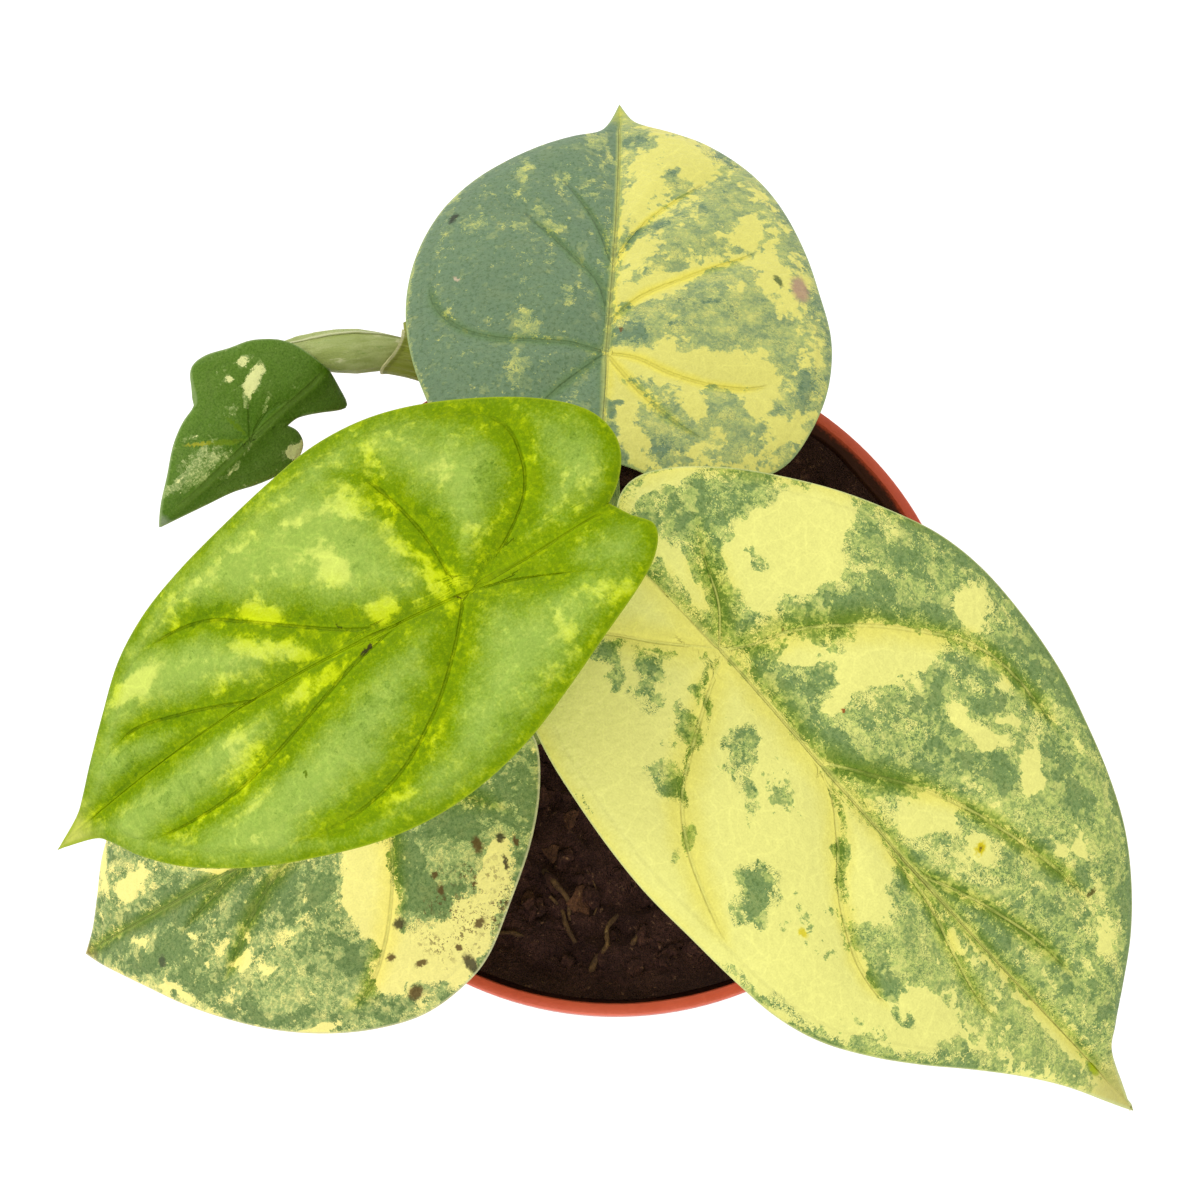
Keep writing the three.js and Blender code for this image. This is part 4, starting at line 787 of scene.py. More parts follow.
SPOTS = {   # place (u, v), half length, half width, turn, colour
    "back": [(35.7, 27.5, 1.5, 0.6, -15, (50, 56, 42)), (18, 25.7, 0.8, 0.3, 30, (196, 178, 150)),
             (19.5, -32, 3.3, 1.5, 4, (172, 142, 116)), (20.6, -28.3, 1.5, 0.6, 20, (84, 100, 54)),
             (5.6, -2.4, 0.7, 0.3, 0, (112, 84, 44))],
    "left": [(16.6, 0, 1.3, 0.4, 15, BLACK), (1.3, 0.2, 0.8, 0.22, -45, (92, 96, 24)),
             (18.5, -5.4, 0.7, 0.2, -70, (70, 84, 20)), (32.8, 11.3, 0.4, 0.35, 0, (92, 116, 20)),
             (7.3, 7.5, 0.25, 0.25, 0, (88, 112, 10))],
    "right": [(92, -1.5, 1.5, 0.8, 0, (158, 176, 12)), (50, 7.3, 0.8, 1.0, 0, (206, 190, 30)),
              (50, 7.3, 0.3, 0.45, 0, (120, 104, 40)), (38, -22.3, 0.9, 0.5, 0, (214, 200, 60)),
              (69, 16.4, 0.35, 0.9, 0, (84, 78, 30)),
              (19.7, 6.5, 0.3, 0.3, 0, (150, 84, 40)), (4.6, 8.8, 0.3, 0.3, 0, (120, 104, 40))],
    "low": [(6, 22.1, 1.1, 0.9, 0, BLACK), (9.6, 26.5, 0.9, 0.6, 0, BROWN), (8, 33, 1.4, 1.0, 20, BROWN),
            (-2.6, 32.6, 0.9, 1.7, 10, BLACK), (-6.8, 27.4, 1.1, 0.6, 30, BROWN), (-2, 29.6, 0.6, 0.5, 0, BROWN),
            (-3, 20.2, 0.6, 0.8, 0, BROWN), (-3, 17.6, 0.6, 0.5, 0, BROWN), (-11.5, 16.2, 0.8, 1.3, 0, BROWN),
            (-15.4, 16.6, 0.7, 0.8, 0, BLACK), (-14.6, 20.6, 0.35, 1.4, -10, BLACK), (-17.4, 18, 0.5, 0.8, 0, BROWN),
            (5, 29.3, 1.1, 0.5, 0, BROWN), (51.8, 9, 0.8, 1.0, 0, (74, 84, 56)), (-8.6, 21.5, 0.5, 0.4, 0, BROWN)],
    "small": [(6.8, -5.4, 2.4, 0.3, -38, (168, 168, 54)), (3.4, -2.6, 3, 0.5, -38, (108, 134, 30)),
              (0.2, -3.4, 0.35, 2.2, 4, (96, 126, 24))],
}
FRECKLED = {"low": (-7, 25, 11, 7)}     # an area of fine brown specks: its middle, half length and half width

# %% [markdown]
# ## Leaf finish
#
# The two pigment fields are broken up at three sizes: sectors of a few
# millimetres with clean borders, ragged streaks that follow the veins, and a
# stipple of single cells. Thin winding flecks run through the lime tissue. The
# domes between the veins take a painted sheen. Over that come the creases, with
# painted shade in them and a painted highlight line beside them, a fine net of
# veinlets, the grain and the spots.

# %% Marbled tissue
def marbled(place, along, upper, lower, tone):
    blocks = place.wobbled(0.7, 3.2).cells(0.42)
    ragged = along.noise(0.6, 3, 0.5) * 1.45 + place.noise(0.5, 3, 0.52) * 1.45
    winding = 0.2 - abs(place.noise(1.6, 1, 0.5, 1.1))
    broken = (blocks[0] - 0.5) * 0.6 + ragged * tone["ragged"] + winding * tone["worms"]
    density = upper * 0.9 + broken * (upper + 1.0).step(-0.15, 0.6)
    has_green = density.step(-0.08, 0.1)
    layer = (blocks[1] - 0.5) * 0.7 + along.moved((37, 11, 0)).noise(0.55, 3, 0.55) * tone["ragged"] * 1.12
    layer = layer + place.moved((4, 9, 0)).noise(0.6, 4, 0.66) * tone["ragged"] * 1.36
    layer = lower + layer * (lower + 0.9).step(-0.2, 0.6)
    has_lime = layer.step(-tone["soft"], tone["soft"])
    threads = abs(place.moved((9, 5, 0)).noise(1.9, 1, 0.5, 1.2)).step(0.2, 0.04)
    threads = threads * place.noise(0.2, 3).step(-0.6, 0.1)
    flecks = threads * ((upper + 0.75).step(0.0, 0.6) + has_lime * 0.7).step(0.0, 1.0) * tone["threads"]
    islands = upper * 0.6 + (blocks[2] - 0.5) * 0.8 + place.moved((3, 1, 0)).noise(0.4, 3, 0.58) * 1.38 - 0.1
    deep = islands.step(-0.12, 0.12) * 0.75 + threads * 0.3
    speck = place.moved((7, 3, 0)).noise(1.3, 3, 0.72) * 1.22
    return has_green, has_lime, flecks, deep, speck


def spot(place, u, v, long, wide, turn):
    """1 within an ellipse on the flat blade, and 0 outside it."""
    inside = place.node("Mapping", {"vector_type": "TEXTURE"}, {
        "Vector": place, "Location": (u, v, 0), "Rotation": (0, 0, math.radians(turn)), "Scale": (long, wide, 1)})
    return inside.node("VectorMath", {"operation": "LENGTH"}, {0: inside}, out=1).step(1.4, 0.6)


# %% The finish of a leaf's upper face and its underside
MATT = (198, 206, 164)      # undersides are paler and duller
SHADE = (40, 64, 24)        # what the darkest cells of the green tissue tend to
RELIEF = 0.0005             # depth of a blade's finest relief, in metres


def leaf_finish(name, below=False):
    tone = dict(TONES[name])
    if below:
        tone.update((key, between(value, MATT, 0.4)) for key, value in TONES[name].items() if isinstance(value, tuple))
    dark = between(TONES[name]["green"], SHADE, 0.5)
    material, start, shader = finish(name + ("_underside" if below else "_leaf"), Roughness=0.6,
                                     Specular_IOR_Level=tone["gloss"])
    u, v, dome = start.read("flat")
    upper, lower, _ = start.read("pigment")
    number, spacing, reach = start.read("flow")
    vein, rib, rim = start.read("near")
    place = start.point(u, v)
    along = start.point(number * 7, reach * 0.4)        # noise on this place is drawn out along the veins
    grain = place.noise(3.2, 2)

    has_green, has_lime, flecks, deep, speck = marbled(place.scaled(tone["fine"]), along, upper, lower, tone)
    wide = 1.5 - (u * u + v * v).step(80, 2200) * 0.75         # the troughs are widest about the junction
    trough = vein.math("MINIMUM", abs(rib)).math("MINIMUM", rim + tone["hem"]) / (wide * tone["spread"])
    # painted sheen: away from the veins' troughs the domes are drawn paler and greyer, as where they catch the light
    painted_sheen = (trough + dome * 0.25 + grain * 0.12 + place.noise(0.2, 4, 0.65) * 0.29).step(0.1, 1.1) * tone["painted_sheen"]
    bare = painted_sheen.mix(tone["bare"], tone["bare_painted_sheen"])
    lime = painted_sheen.mix(tone["lime"], tone["lime_painted_sheen"])
    green = painted_sheen.mix(tone["green"], tone["green_painted_sheen"])
    cloud = place.moved((15, 3, 0)).wobbled(0.4, 2).noise(0.3, 4, 0.6) * 1.45
    lime = (cloud.step(-0.05, -0.5) * tone["cloud"]).mix(lime, bare)
    lime = (cloud.step(0.0, 0.45) * tone["cloud"]).mix(lime, green)
    lime = (speck.step(0.05, 0.3) * tone["speck"]).mix(lime, green)
    lime = (speck.step(-0.08, -0.32) * tone["speck"]).mix(lime, bare)
    green = (speck.step(0.06, 0.34) * 0.42).mix(green, dark)
    tint = flecks.mix(has_lime.mix(bare, lime), green)
    tint = has_green.mix(tint, (deep * tone["deep"] + 1.0 - tone["deep"]).mix(lime, green))

    # The midrib is pale where it isn't creased, and so is the junction.
    tint = (abs(rib).step(1.0, 0.2) * rim.step(0.5, 3) * 0.45).mix(tint, tone["rib"])
    tint = (vein.step(0.42, 0.1) * rim.step(1, 6) * tone["pale"]).mix(tint, tone["rib"])
    wavy = place.wobbled(1.9, 1.3)
    if not below:
        for u_spot, v_spot, long, wide, turn, shade in SPOTS[name]:
            tint = (spot(wavy, u_spot, v_spot, long, wide, turn) * 0.92).mix(tint, shade)
        if name in FRECKLED:
            area = spot(place.wobbled(0.2, 6), *FRECKLED[name], 0)
            for scale, size in ((1.0, 0.5), (2.0, 0.55)):
                dots = wavy.node("TexVoronoi", {}, {"Vector": wavy, "Scale": scale})
                spread = (wavy.cells(scale)[0] * size - dots).step(0.0, 0.08) * place.noise(0.22, 2).step(-0.5, 0.1)
                tint = (spread * area * 0.8).mix(tint, BROWN)
    tip = LEAVES[name]["left"][-1][0]
    tail = (u + place.noise(0.4, 3) * 1.2).step(tip * tone["tail"], tip * (tone["tail"] + 0.09))
    tint = (tail * 0.8).mix(tint, tone["tip"])
    tint = (rim.step(0.42, 0.08) * 0.7).mix(tint, tone["edge"])

    # Side veins: a crease with painted shade in it, and a painted highlight line beside it on the side of the sinus.
    # Finer ones run between them.
    signed = (number - number.math("ROUND")) * spacing
    fade = rim.step(1.2, 6) * vein.step(1.7, 1.0)
    crease = abs(signed).step(0.55, 0.1) * fade
    painted_highlight_line = abs(signed + 0.75).step(0.5, 0.1) * fade
    third = number * 3 + 0.5 + place.noise(0.12, 2) * 0.1
    fine = (abs(third - third.math("ROUND")) * spacing / 3).step(0.28, 0.04) * rim.step(2, 5)
    fine = fine * reach.step(4, 9) * place.noise(0.3, 2).step(-0.3, 0.5)
    mesh_place = place.wobbled(0.5, 1.6)
    net = mesh_place.node("TexVoronoi", {"feature": "DISTANCE_TO_EDGE"}, {
        "Vector": mesh_place, "Scale": 0.24}).step(0.05, 0.0) * rim.step(1, 3)
    hem = abs(rim - 2.7).step(0.5, 0.1) * u.step(-30, 0)
    middle = abs(rib + 0.1).step(0.42, 0.1) * rim.step(0.5, 4)
    # The value paints shade into the side veins' creases, the midrib's crease and the groove inside the margin, and a
    # highlight line beside each side vein; grain, veinlets and net are the leaf's own.
    value = 1.0 + grain * 0.09 + place.noise(0.9, 4) * 0.06 - crease * tone["crease"]
    value = value + painted_highlight_line * tone["vein"] + fine * 0.06 + net * tone["net"] - hem * 0.07 - middle * 0.18
    value = value + place.noise(0.07, 3) * 0.07
    height = 0.6 - crease * 0.4 - middle * 0.4 + place.noise(0.9, 2) * 0.15
    roughness = 0.5 + grain * 0.1 + has_green * 0.06 - painted_sheen * 0.08
    surfaced(shader, tint, value, roughness, 1.0 - height if below else height, RELIEF, saturation=1.04)
    return material


def edge_finish(name):
    material, start, shader = finish(name + "_edge", Roughness=0.5)
    edge = TONES[name]["edge"]
    worn = start.point(*start.read("flat")).noise(0.5, 3).step(-0.5, 0.8)
    feed(worn.mix(edge, between(edge, MATT, 0.6)), shader, "Base Color")
    return material


for name, piece in blades.items():
    for made in (leaf_finish(name), leaf_finish(name, below=True), edge_finish(name)):
        piece.data.materials.append(made)
print("leaf finishes", sum(len(piece.data.materials) for piece in blades.values()))

# %% [markdown]
# ## Nursery pot
#
# A thin moulded pot: a tapering wall, a thicker band under the lip, and eight
# drain holes in its floor. Its section is turned round the middle as a grid with
# 160 columns, and the holes are cut by a Boolean with cylinders.

# %% The pot's section
RIM_RADIUS, BASE_RADIUS, WALL, FLOOR = 60.3, 42.5, 1.4, 2.4
INNER = 58.2        # radius of the mouth
NECK_RADIUS, NECK = 56.3, 87.6      # the tapering wall ends here, under the band


def outer_wall(z):
    return BASE_RADIUS + (z - 1) * (NECK_RADIUS - BASE_RADIUS) / (NECK - 1)


SECTION = [(0, 0), (20, 0), (41.3, 0), (42.1, 0.25), (BASE_RADIUS, 1), (outer_wall(22), 22), (outer_wall(44), 44),
           (outer_wall(66), 66), (outer_wall(86.9), 86.9), (NECK_RADIUS + 0.25, 87.5), (58.9, 87.9), (59.4, 88.2),
           (59.6, 88.8), (59.95, 91.5), (RIM_RADIUS - 0.05, 94), (RIM_RADIUS, 94.5), (RIM_RADIUS - 0.2, 94.9),
           (RIM_RADIUS - 0.6, 95), (INNER + 0.9, 95), (INNER + 0.3, 94.8), (INNER, 94.2), (INNER - 0.3, 92),
           (INNER - 0.6, 89.8), (INNER - 1.0, 89.2), (NECK_RADIUS - WALL, 88.2), (outer_wall(60) - WALL, 60),
           (outer_wall(30) - WALL, 30), (outer_wall(3.4) - WALL, 3.4), (outer_wall(FLOOR) - WALL - 0.9, FLOOR),
           (0, FLOOR)]


def ring(r, a, z):
    """Points at a radius and height, turned round the middle, with a from 0 to 1."""
    return np.stack([r * np.cos(2 * np.pi * a), r * np.sin(2 * np.pi * a), z], -1)


def pot_rule(a, b):
    at, rows = b * (len(SECTION) - 1), range(len(SECTION))
    radii, heights = np.array(SECTION).T
    return ring(np.interp(at, rows, radii), a, np.interp(at, rows, heights))


# %% Turning the pot and cutting its drain holes
DRAINS, DRAIN_RADIUS, DRAIN_CIRCLE = 8, 4, 29

pot = welded(sheet("pot_shell", 160, len(SECTION) - 1, pot_rule))
cutters = []
for i in range(DRAINS):
    turn = 2 * math.pi * (i + 0.5) / DRAINS
    bpy.ops.mesh.primitive_cylinder_add(vertices=32, radius=DRAIN_RADIUS * MM, depth=8 * MM, location=(
        DRAIN_CIRCLE * math.cos(turn) * MM, DRAIN_CIRCLE * math.sin(turn) * MM, FLOOR / 2 * MM))
    cutters.insert(0, bpy.context.object)
cutter = joined("drain_cutter", cutters)
cut = pot.modifiers.new("drains", "BOOLEAN")
cut.object, cut.operation, cut.solver = cutter, "DIFFERENCE", "EXACT"
picked(pot)
bpy.ops.object.modifier_apply(modifier=cut.name)
bpy.data.objects.remove(cutter)
placed_in(pot, "pot", "pot", angle=32)

# %% Moulded plastic
def here(start):
    """The place on a piece, in millimetres."""
    return start.node("TexCoord", {}, {}, out=3).scaled(1000.0)


def pot_finish():
    material, start, shader = finish("moulded_terracotta", Roughness=0.5, Specular_IOR_Level=0.35)
    place = here(start)
    x, y, z = place.parts()
    out = (x * x + y * y).math("SQRT")
    angle = y.math("ARCTAN2", x)
    flow = start.point(angle * 9, z * 0.03, out * 0.03)
    fine = place.noise(1.6, 3, 0.6)
    cloudy = place.noise(0.05, 4, 0.6) * 0.5 + 0.5 + flow.noise(1.0, 4, 0.7) * 0.3
    tint = cloudy.step(0.0, 1.0).mix((204, 80, 50), (222, 97, 67))
    # The corners of the lip and the base are worn pale, and the inside wall is painted dark down to the soil: painted
    # shade, with soil dust.
    lip = z.step(94.2, 95.0) * (abs(out - 59.0) + fine * 0.3).step(0.5, 1.5)
    worn = lip * 0.5 + (z + fine * 0.6).step(1.6, 0.3) * 0.5 + (place.noise(0.35, 5, 0.7) - 0.62).step(0, 0.3) * 0.5
    tint = (worn * 0.7).mix(tint, (222, 128, 100))
    inside = (out + fine * 0.2).step(58.5, 58.0) * z.step(80, 84)
    # painted shade and soil dust on the inside wall, from just under the lip down to the soil
    shade_and_dust = inside * (z + place.noise(0.3, 5, 0.6) * 1.6).step(94.9, 93.6)
    splash = (place.noise(0.16, 5, 0.7) - 0.35).step(0, 0.5) * z.step(80, 20) * 0.25
    tint = (shade_and_dust * 0.92 + splash).mix(tint, (58, 40, 32))
    marks = place.moved((50, 0, 0)).wobbled(0.3, 3).noise(0.5, 2)
    tint = ((marks - 0.78).step(0.0, 0.1) * z.step(86, 92) * 0.7).mix(tint, (70, 48, 36))
    # painted shade: all of the pot below the top of its lip, bar the inside, is drawn darker
    outer = z.step(93.8, 92.8) * (1.0 - inside)
    surfaced(shader, tint, 1.0 + fine * 0.03 - outer * 0.24, 0.46 + fine * 0.05 + worn * 0.15 + shade_and_dust * 0.3 + splash,
             fine * 0.3 + flow.noise(2.0, 3) * 0.35, 0.00012)
    return material


pot.data.materials.append(pot_finish())

# %% [markdown]
# ## Soil
#
# The soil is a turned disc with lumps, a skirt against the pot's wall and a flat
# bottom that shows through the drain holes. Crumbs, bark and dead roots lie on
# it. Each is modelled once and copied, at places from a seeded draw.

# %% The soil's surface
SOIL_LEVEL = 87.0
SOIL_GAP = WALL + 0.3               # from the pot's outer face in to the skirt
SOIL_RINGS, SOIL_BRIM = 84, 56.9    # the soil is heaped up against the wall, under the lip
HEAP = 90.6                         # height of its edge


def soil_height(x, y):
    return SOIL_LEVEL + 1.1 * (np.sin(0.19 * x + 1.3) * np.cos(0.23 * y) + 0.5 * np.sin(0.41 * x - 0.37 * y + 2)
                               + 0.35 * np.cos(0.62 * x + 0.5 * y))


def lumps(x, y):
    small = [noise.fractal(Vector((px * 0.32, py * 0.32, 3)), 0.7, 2.1, 4) for px, py in zip(x, y)]
    large = [noise.noise(Vector((px * 0.1, py * 0.1, 8))) for px, py in zip(x, y)]
    return np.array(small) * 1.3 + np.array(large) * 1.0


def soil_rule(a, b):
    row = b * (SOIL_RINGS + 3)
    r = SOIL_BRIM * np.clip(row / SOIL_RINGS, 0, 1)
    x, y, _ = ring(r, a, r).T
    edge = np.clip((SOIL_BRIM - r) / 4, 0, 1)
    heap = HEAP + 0.5 * np.sin(9 * 2 * np.pi * a) + 0.4 * np.sin(23 * 2 * np.pi * a + 1)
    top = heap + (soil_height(x, y) + lumps(x, y) + 1.2 * np.clip((r - 42) / 10, 0, 1) - heap) * edge
    # The last three rows are the skirt's top, its foot and the middle of the bottom.
    radii = np.array([outer_wall(87) - SOIL_GAP, outer_wall(FLOOR) - SOIL_GAP - WALL, 0])
    last = np.clip(np.round(row - SOIL_RINGS - 1).astype(int), 0, 2)
    below = row > SOIL_RINGS + 0.5
    return ring(np.where(below, radii[last], r), a, np.where(below, np.array([NECK, FLOOR, FLOOR])[last], top))


soil = welded(sheet("soil_body", 180, SOIL_RINGS + 3, soil_rule))
placed_in(soil, "soil", "soil", angle=50)

# %% Crumbs, bark and dead roots
draw = np.random.default_rng(7)


def scattered(name, pattern, moves):
    """Copies of one piece, each with its own mesh, put where the moves say and joined."""
    copies = []
    for move in moves:
        copy = pattern.copy()
        copy.data = pattern.data.copy()
        bpy.context.collection.objects.link(copy)
        copy.data.transform(move)
        copies.append(copy)
    bpy.data.objects.remove(pattern)
    return joined(name, copies)


def on_soil(reach, sink, lean=0.35):
    """A random place on the soil, turned at random, sunk by some of a piece's size."""
    r, turn = reach * math.sqrt(draw.uniform(0, 1)), draw.uniform(0, 2 * math.pi)
    x, y = r * math.cos(turn), r * math.sin(turn)
    z = float(soil_height(x, y)) + sink
    spin = Matrix.Rotation(draw.uniform(0, 2 * math.pi), 4, "Z") @ Matrix.Rotation(draw.normal(0, lean), 4, "X")
    return Matrix.Translation(Vector((x, y, z)) * MM) @ spin @ Matrix.Rotation(draw.normal(0, lean), 4, "Y")


def crumb(bumps):
    bpy.ops.mesh.primitive_ico_sphere_add(subdivisions=2, radius=1 * MM, location=(0, 0, 0))
    piece = bpy.context.object
    for corner in piece.data.vertices:
        corner.co *= 1 + bumps * noise.noise(corner.co * 1400)
    return piece


crumbs = scattered("soil_crumbs", crumb(0.9), [
    on_soil(52, 0.5, 2) @ Matrix.Diagonal((*(draw.uniform(0.4, 1.7) * draw.uniform(0.7, 1.3, 3)), 1))
    for _ in range(520)])
placed_in(crumbs, "soil", angle=40)


def flake():
    piece = crumb(0.4)
    piece.data.transform(Matrix.Diagonal((3.0, 1.4, 0.5, 1)))
    for corner in piece.data.vertices:
        corner.co += Vector([noise.noise(corner.co * 600 + Vector((0, 0, 17 * k))) for k in range(3)]) * 1.1 * MM
    return piece


bark = scattered("bark_flakes", flake(), [
    on_soil(50, 1.0) @ Matrix.Diagonal((draw.uniform(0.5, 1.3), draw.uniform(0.6, 1.3), draw.uniform(0.7, 1.2), 1))
    for _ in range(54)])
placed_in(bark, "soil", angle=35)

# %% Tubes along a route
def evenly(points, count):
    """Points spaced evenly along a polyline."""
    points = np.asarray(points, float)
    run = np.concatenate([[0], np.cumsum(np.linalg.norm(np.diff(points, axis=0), axis=1))])
    return np.stack([np.interp(np.linspace(0, run[-1], count), run, points[:, k]) for k in range(3)], -1)


def centripetal(points, count=24):
    """A smooth curve through points that may be far from evenly spaced."""
    p = [np.asarray(q, float) for q in points]
    p = [2 * p[0] - p[1]] + p + [2 * p[-1] - p[-2]]
    out = []
    for p0, p1, p2, p3 in zip(p, p[1:], p[2:], p[3:]):
        d0, d1, d2 = (np.linalg.norm(b - a) ** 0.5 for a, b in ((p0, p1), (p1, p2), (p2, p3)))
        m1 = ((p1 - p0) / d0 - (p2 - p0) / (d0 + d1) + (p2 - p1) / d1) * d1
        m2 = ((p2 - p1) / d1 - (p3 - p1) / (d1 + d2) + (p3 - p2) / d2) * d1
        for w in np.linspace(0, 1, count, endpoint=False):
            out.append((2 * p1 - 2 * p2 + m1 + m2) * w ** 3 + (3 * p2 - 3 * p1 - 2 * m1 - m2) * w ** 2 + m1 * w + p1)
    return np.array(out + [p[-2]])


def frames_along(route, first):
    """Two lists of unit vectors across a route that don't twist about it, the first starting near a direction."""
    ahead = np.gradient(route, axis=0)
    ahead /= np.linalg.norm(ahead, axis=1, keepdims=True)
    side = [np.asarray(first, float)]
    for direction in ahead:
        across = side[-1] - direction * (side[-1] @ direction)
        side.append(across / np.linalg.norm(across))
    side = np.array(side[1:])
    return side, np.cross(ahead, side)


class Route:
    """A route of points spaced evenly, with two directions across it and its length."""
    STEPS = 240

    def __init__(self, points, first):
        self.lines = [evenly(points, self.STEPS)]
        self.lines += frames_along(self.lines[0], first)
        self.length = np.linalg.norm(np.diff(self.lines[0], axis=0), axis=1).sum()

    def around(self, t, r, angle):
        """Points round the route, at t from 0 to 1 along it."""
        middle, side, over = (np.stack([np.interp(t, np.linspace(0, 1, len(line)), line[:, k]) for k in range(3)], -1)
                              for line in self.lines)
        return middle + side * (r * np.cos(angle))[:, None] + over * (r * np.sin(angle))[:, None]


def tube(name, points, radius, sides, rows, first=(0, 0, 1)):
    """A tube, closed at both ends, with radius(t, angle) in millimetres along a route of points."""
    route, stored = Route(points, first), {}

    def rule(a, b):
        t = np.clip((b * rows - 1) / (rows - 2), 0, 1)
        angle = 2 * np.pi * a
        r = radius(t, angle) * ((b > 0.5 / rows) & (b < 1 - 0.5 / rows))
        stored["wrap"] = np.column_stack([np.cos(angle) * r, np.sin(angle) * r, t * route.length])
        return route.around(t, r, angle)

    piece = sheet(name, sides, rows, rule)
    store(piece, "wrap", stored["wrap"])
    return welded(piece)


def straw(name, points, thick, taper=0.4):
    return tube(name, centripetal(points, 10), lambda t, angle: thick * (1 - taper * t) * (
        1 + 0.14 * np.sin(9 * t + 9 * thick) + 0.1 * np.sin(27 * t + 2 * angle)), 8, 24)


# %% Dead roots and straws on the soil
roots = []
for i in range(30):
    r = 49 * math.sqrt(draw.uniform(0, 1))
    turn, heading = draw.uniform(0, 2 * math.pi), draw.uniform(0, 2 * math.pi)
    points, x, y = [], r * math.cos(turn), r * math.sin(turn)
    for k in range(4):
        points.append((x, y, float(soil_height(x, y)) + 0.9 + 0.8 * math.sin(k * 1.7 + i)))
        heading += draw.normal(0, 0.5)
        step = draw.uniform(2, 4.4)
        x, y = x + step * math.cos(heading), y + step * math.sin(heading)
        if math.hypot(x, y) > 52:
            x, y = x * 52 / math.hypot(x, y), y * 52 / math.hypot(x, y)
    roots.append(straw(f"dead_root_{i}", points, draw.uniform(0.16, 0.5)))
for number, (points, thick) in enumerate([    # the ones the photograph shows in the gap at the front
        ([(-11.6, -34.5, 87.4), (-9.6, -37.0, 88.9), (-7.4, -39.6, 88.7), (-6.8, -43, 87.4)], 0.62),
        ([(-19.8, -45.4, 87.2), (-16.4, -45.7, 88.8), (-13.6, -46.9, 88.7), (-11.4, -48.2, 87.0)], 0.42),
        ([(-3.2, -53.4, 86.6), (-2.6, -50.4, 88.5), (-0.5, -47.4, 89.0), (-0.6, -44.6, 88.7), (1.2, -42, 87.6)], 0.6),
        ([(-0.6, -47.2, 88.4), (1.2, -49.0, 88.9), (1.6, -51.0, 87.6)], 0.4),
        ([(3.4, -47.8, 87.2), (4.4, -46, 88.8), (5.6, -44.4, 87.8)], 0.5)]):
    roots.append(straw(f"straw_{number}", points, thick))
dead_roots = placed_in(joined("dead_roots", roots), "soil")

# %% Peat, bark and straw
def litter_finish(name, dark, light, specks, roughness, depth):
    material, start, shader = finish(name, Roughness=roughness, Specular_IOR_Level=0.2)
    place = here(start)
    patch = place.noise(0.16, 4, 0.65) * 0.48 + 0.5
    grain = place.noise(1.4, 2, 0.7)
    tint = (patch * 0.7 + grain * 0.25).step(0.1, 1.0).mix(dark, light)
    speck = (place.cells(0.9)[0] * 0.5 + place.noise(1.1, 3) * 0.35 - 0.52).step(0, 0.12)
    surfaced(shader, (speck * 0.6).mix(tint, specks), 1.0 + grain * 0.12, roughness + grain * 0.06,
             grain * 0.4 + place.noise(3.2, 1) * 0.2 + 0.5, depth)
    return material


soil.data.materials.append(litter_finish("peat", (56, 33, 29), (100, 66, 56), (134, 98, 76), 0.93, 0.0012))
crumbs.data.materials.append(litter_finish("peat_crumbs", (50, 29, 26), (112, 74, 60), (150, 112, 82), 0.93, 0.0006))
bark.data.materials.append(litter_finish("bark", (66, 42, 32), (134, 90, 62), (164, 122, 86), 0.86, 0.0005))
dead_roots.data.materials.append(litter_finish("straw", (66, 46, 32), (142, 108, 66), (176, 150, 98), 0.8, 0.0003))

# %% [markdown]
# ## Petioles
#
# Each petiole stands in the soil with a broad sheathed base, rises, and bends
# over to meet its blade from below and square to it. It is a tube along that
# route, with a channel on its inner side, and wings where the base clasps the
# younger stems.

# %% The petioles' routes
PETIOLES = {    # its root (x, y), and how far it heads straight up there and straight on under the blade
    "back": ((-1, 9), (20, 16)), "left": ((-8, 1.5), (34, 26)), "right": ((2.5, -1), (26, 20)),
    "low": ((-7.5, -8), (10, 12))}
PETIOLE_RADII = [3.3, 3.4, 2.9, 2.3, 1.9, 1.75]
ROOTED = 15.0       # how deep a petiole stands in the soil


def facing(angle):
    """The angle from a tube's first direction, from minus to plus half a turn."""
    return np.arctan2(np.sin(angle), np.cos(angle))


def under(leaf, gap):
    """The point under a blade's junction, and the blade's normal there."""
    out = placed(leaf, blade_normal(leaf, np.zeros(1), np.zeros(1))) - np.array(leaf["junction"])
    return np.array(leaf["junction"], float) - out[0] * (leaf["thick"] + gap), out[0]


def petiole_route(leaf, root, reach):
    end, out = under(leaf, -0.25)
    soil_point = np.array([*root, SOIL_LEVEL + 2.0])
    w = np.linspace(0, 1, 120)[:, None]
    lift = soil_point + np.array([0, 0, reach[0]])
    meet = end - out * reach[1]
    curve = (1 - w) ** 3 * soil_point + 3 * (1 - w) ** 2 * w * lift + 3 * (1 - w) * w ** 2 * meet + w ** 3 * end
    return np.vstack([[[*root, SOIL_LEVEL - ROOTED]], curve])


def petiole_radius(t, angle):
    plain_radius = spline(np.array(PETIOLE_RADII)[:, None], t)[:, 0]
    channel = np.exp(-(facing(angle) / 0.6) ** 2) * np.sin(np.pi * np.minimum(1, 1.2 * t))
    wings = np.exp(-((np.abs(facing(angle)) - 0.95) / 0.28) ** 2) * np.clip((0.5 - t) / 0.3, 0, 1)
    flare = 0.55 * np.clip((t - 0.96) / 0.04, 0, 1) ** 2
    return plain_radius * (1 - 0.24 * channel + 0.1 * wings) + flare


petioles = {}
for name, (root, reach) in PETIOLES.items():
    inward = np.array([3 - root[0], 2 - root[1], 0.0]) + 1e-3
    stalk = tube(name + "_stalk", petiole_route(LEAVES[name], root, reach), petiole_radius, 32, 110, first=inward)
    petioles[name] = placed_in(stalk, "petiole", name + "_petiole")

# %% [markdown]
# ## Offset shoot
#
# At the back left a second shoot leans out of the pot. Its sheath is a tube cut
# off slantwise, with a thin cream margin and a short pointed tip. Out of its
# mouth come a thin petiole, which carries the small arrow-shaped leaf, and a new
# leaf, still rolled.

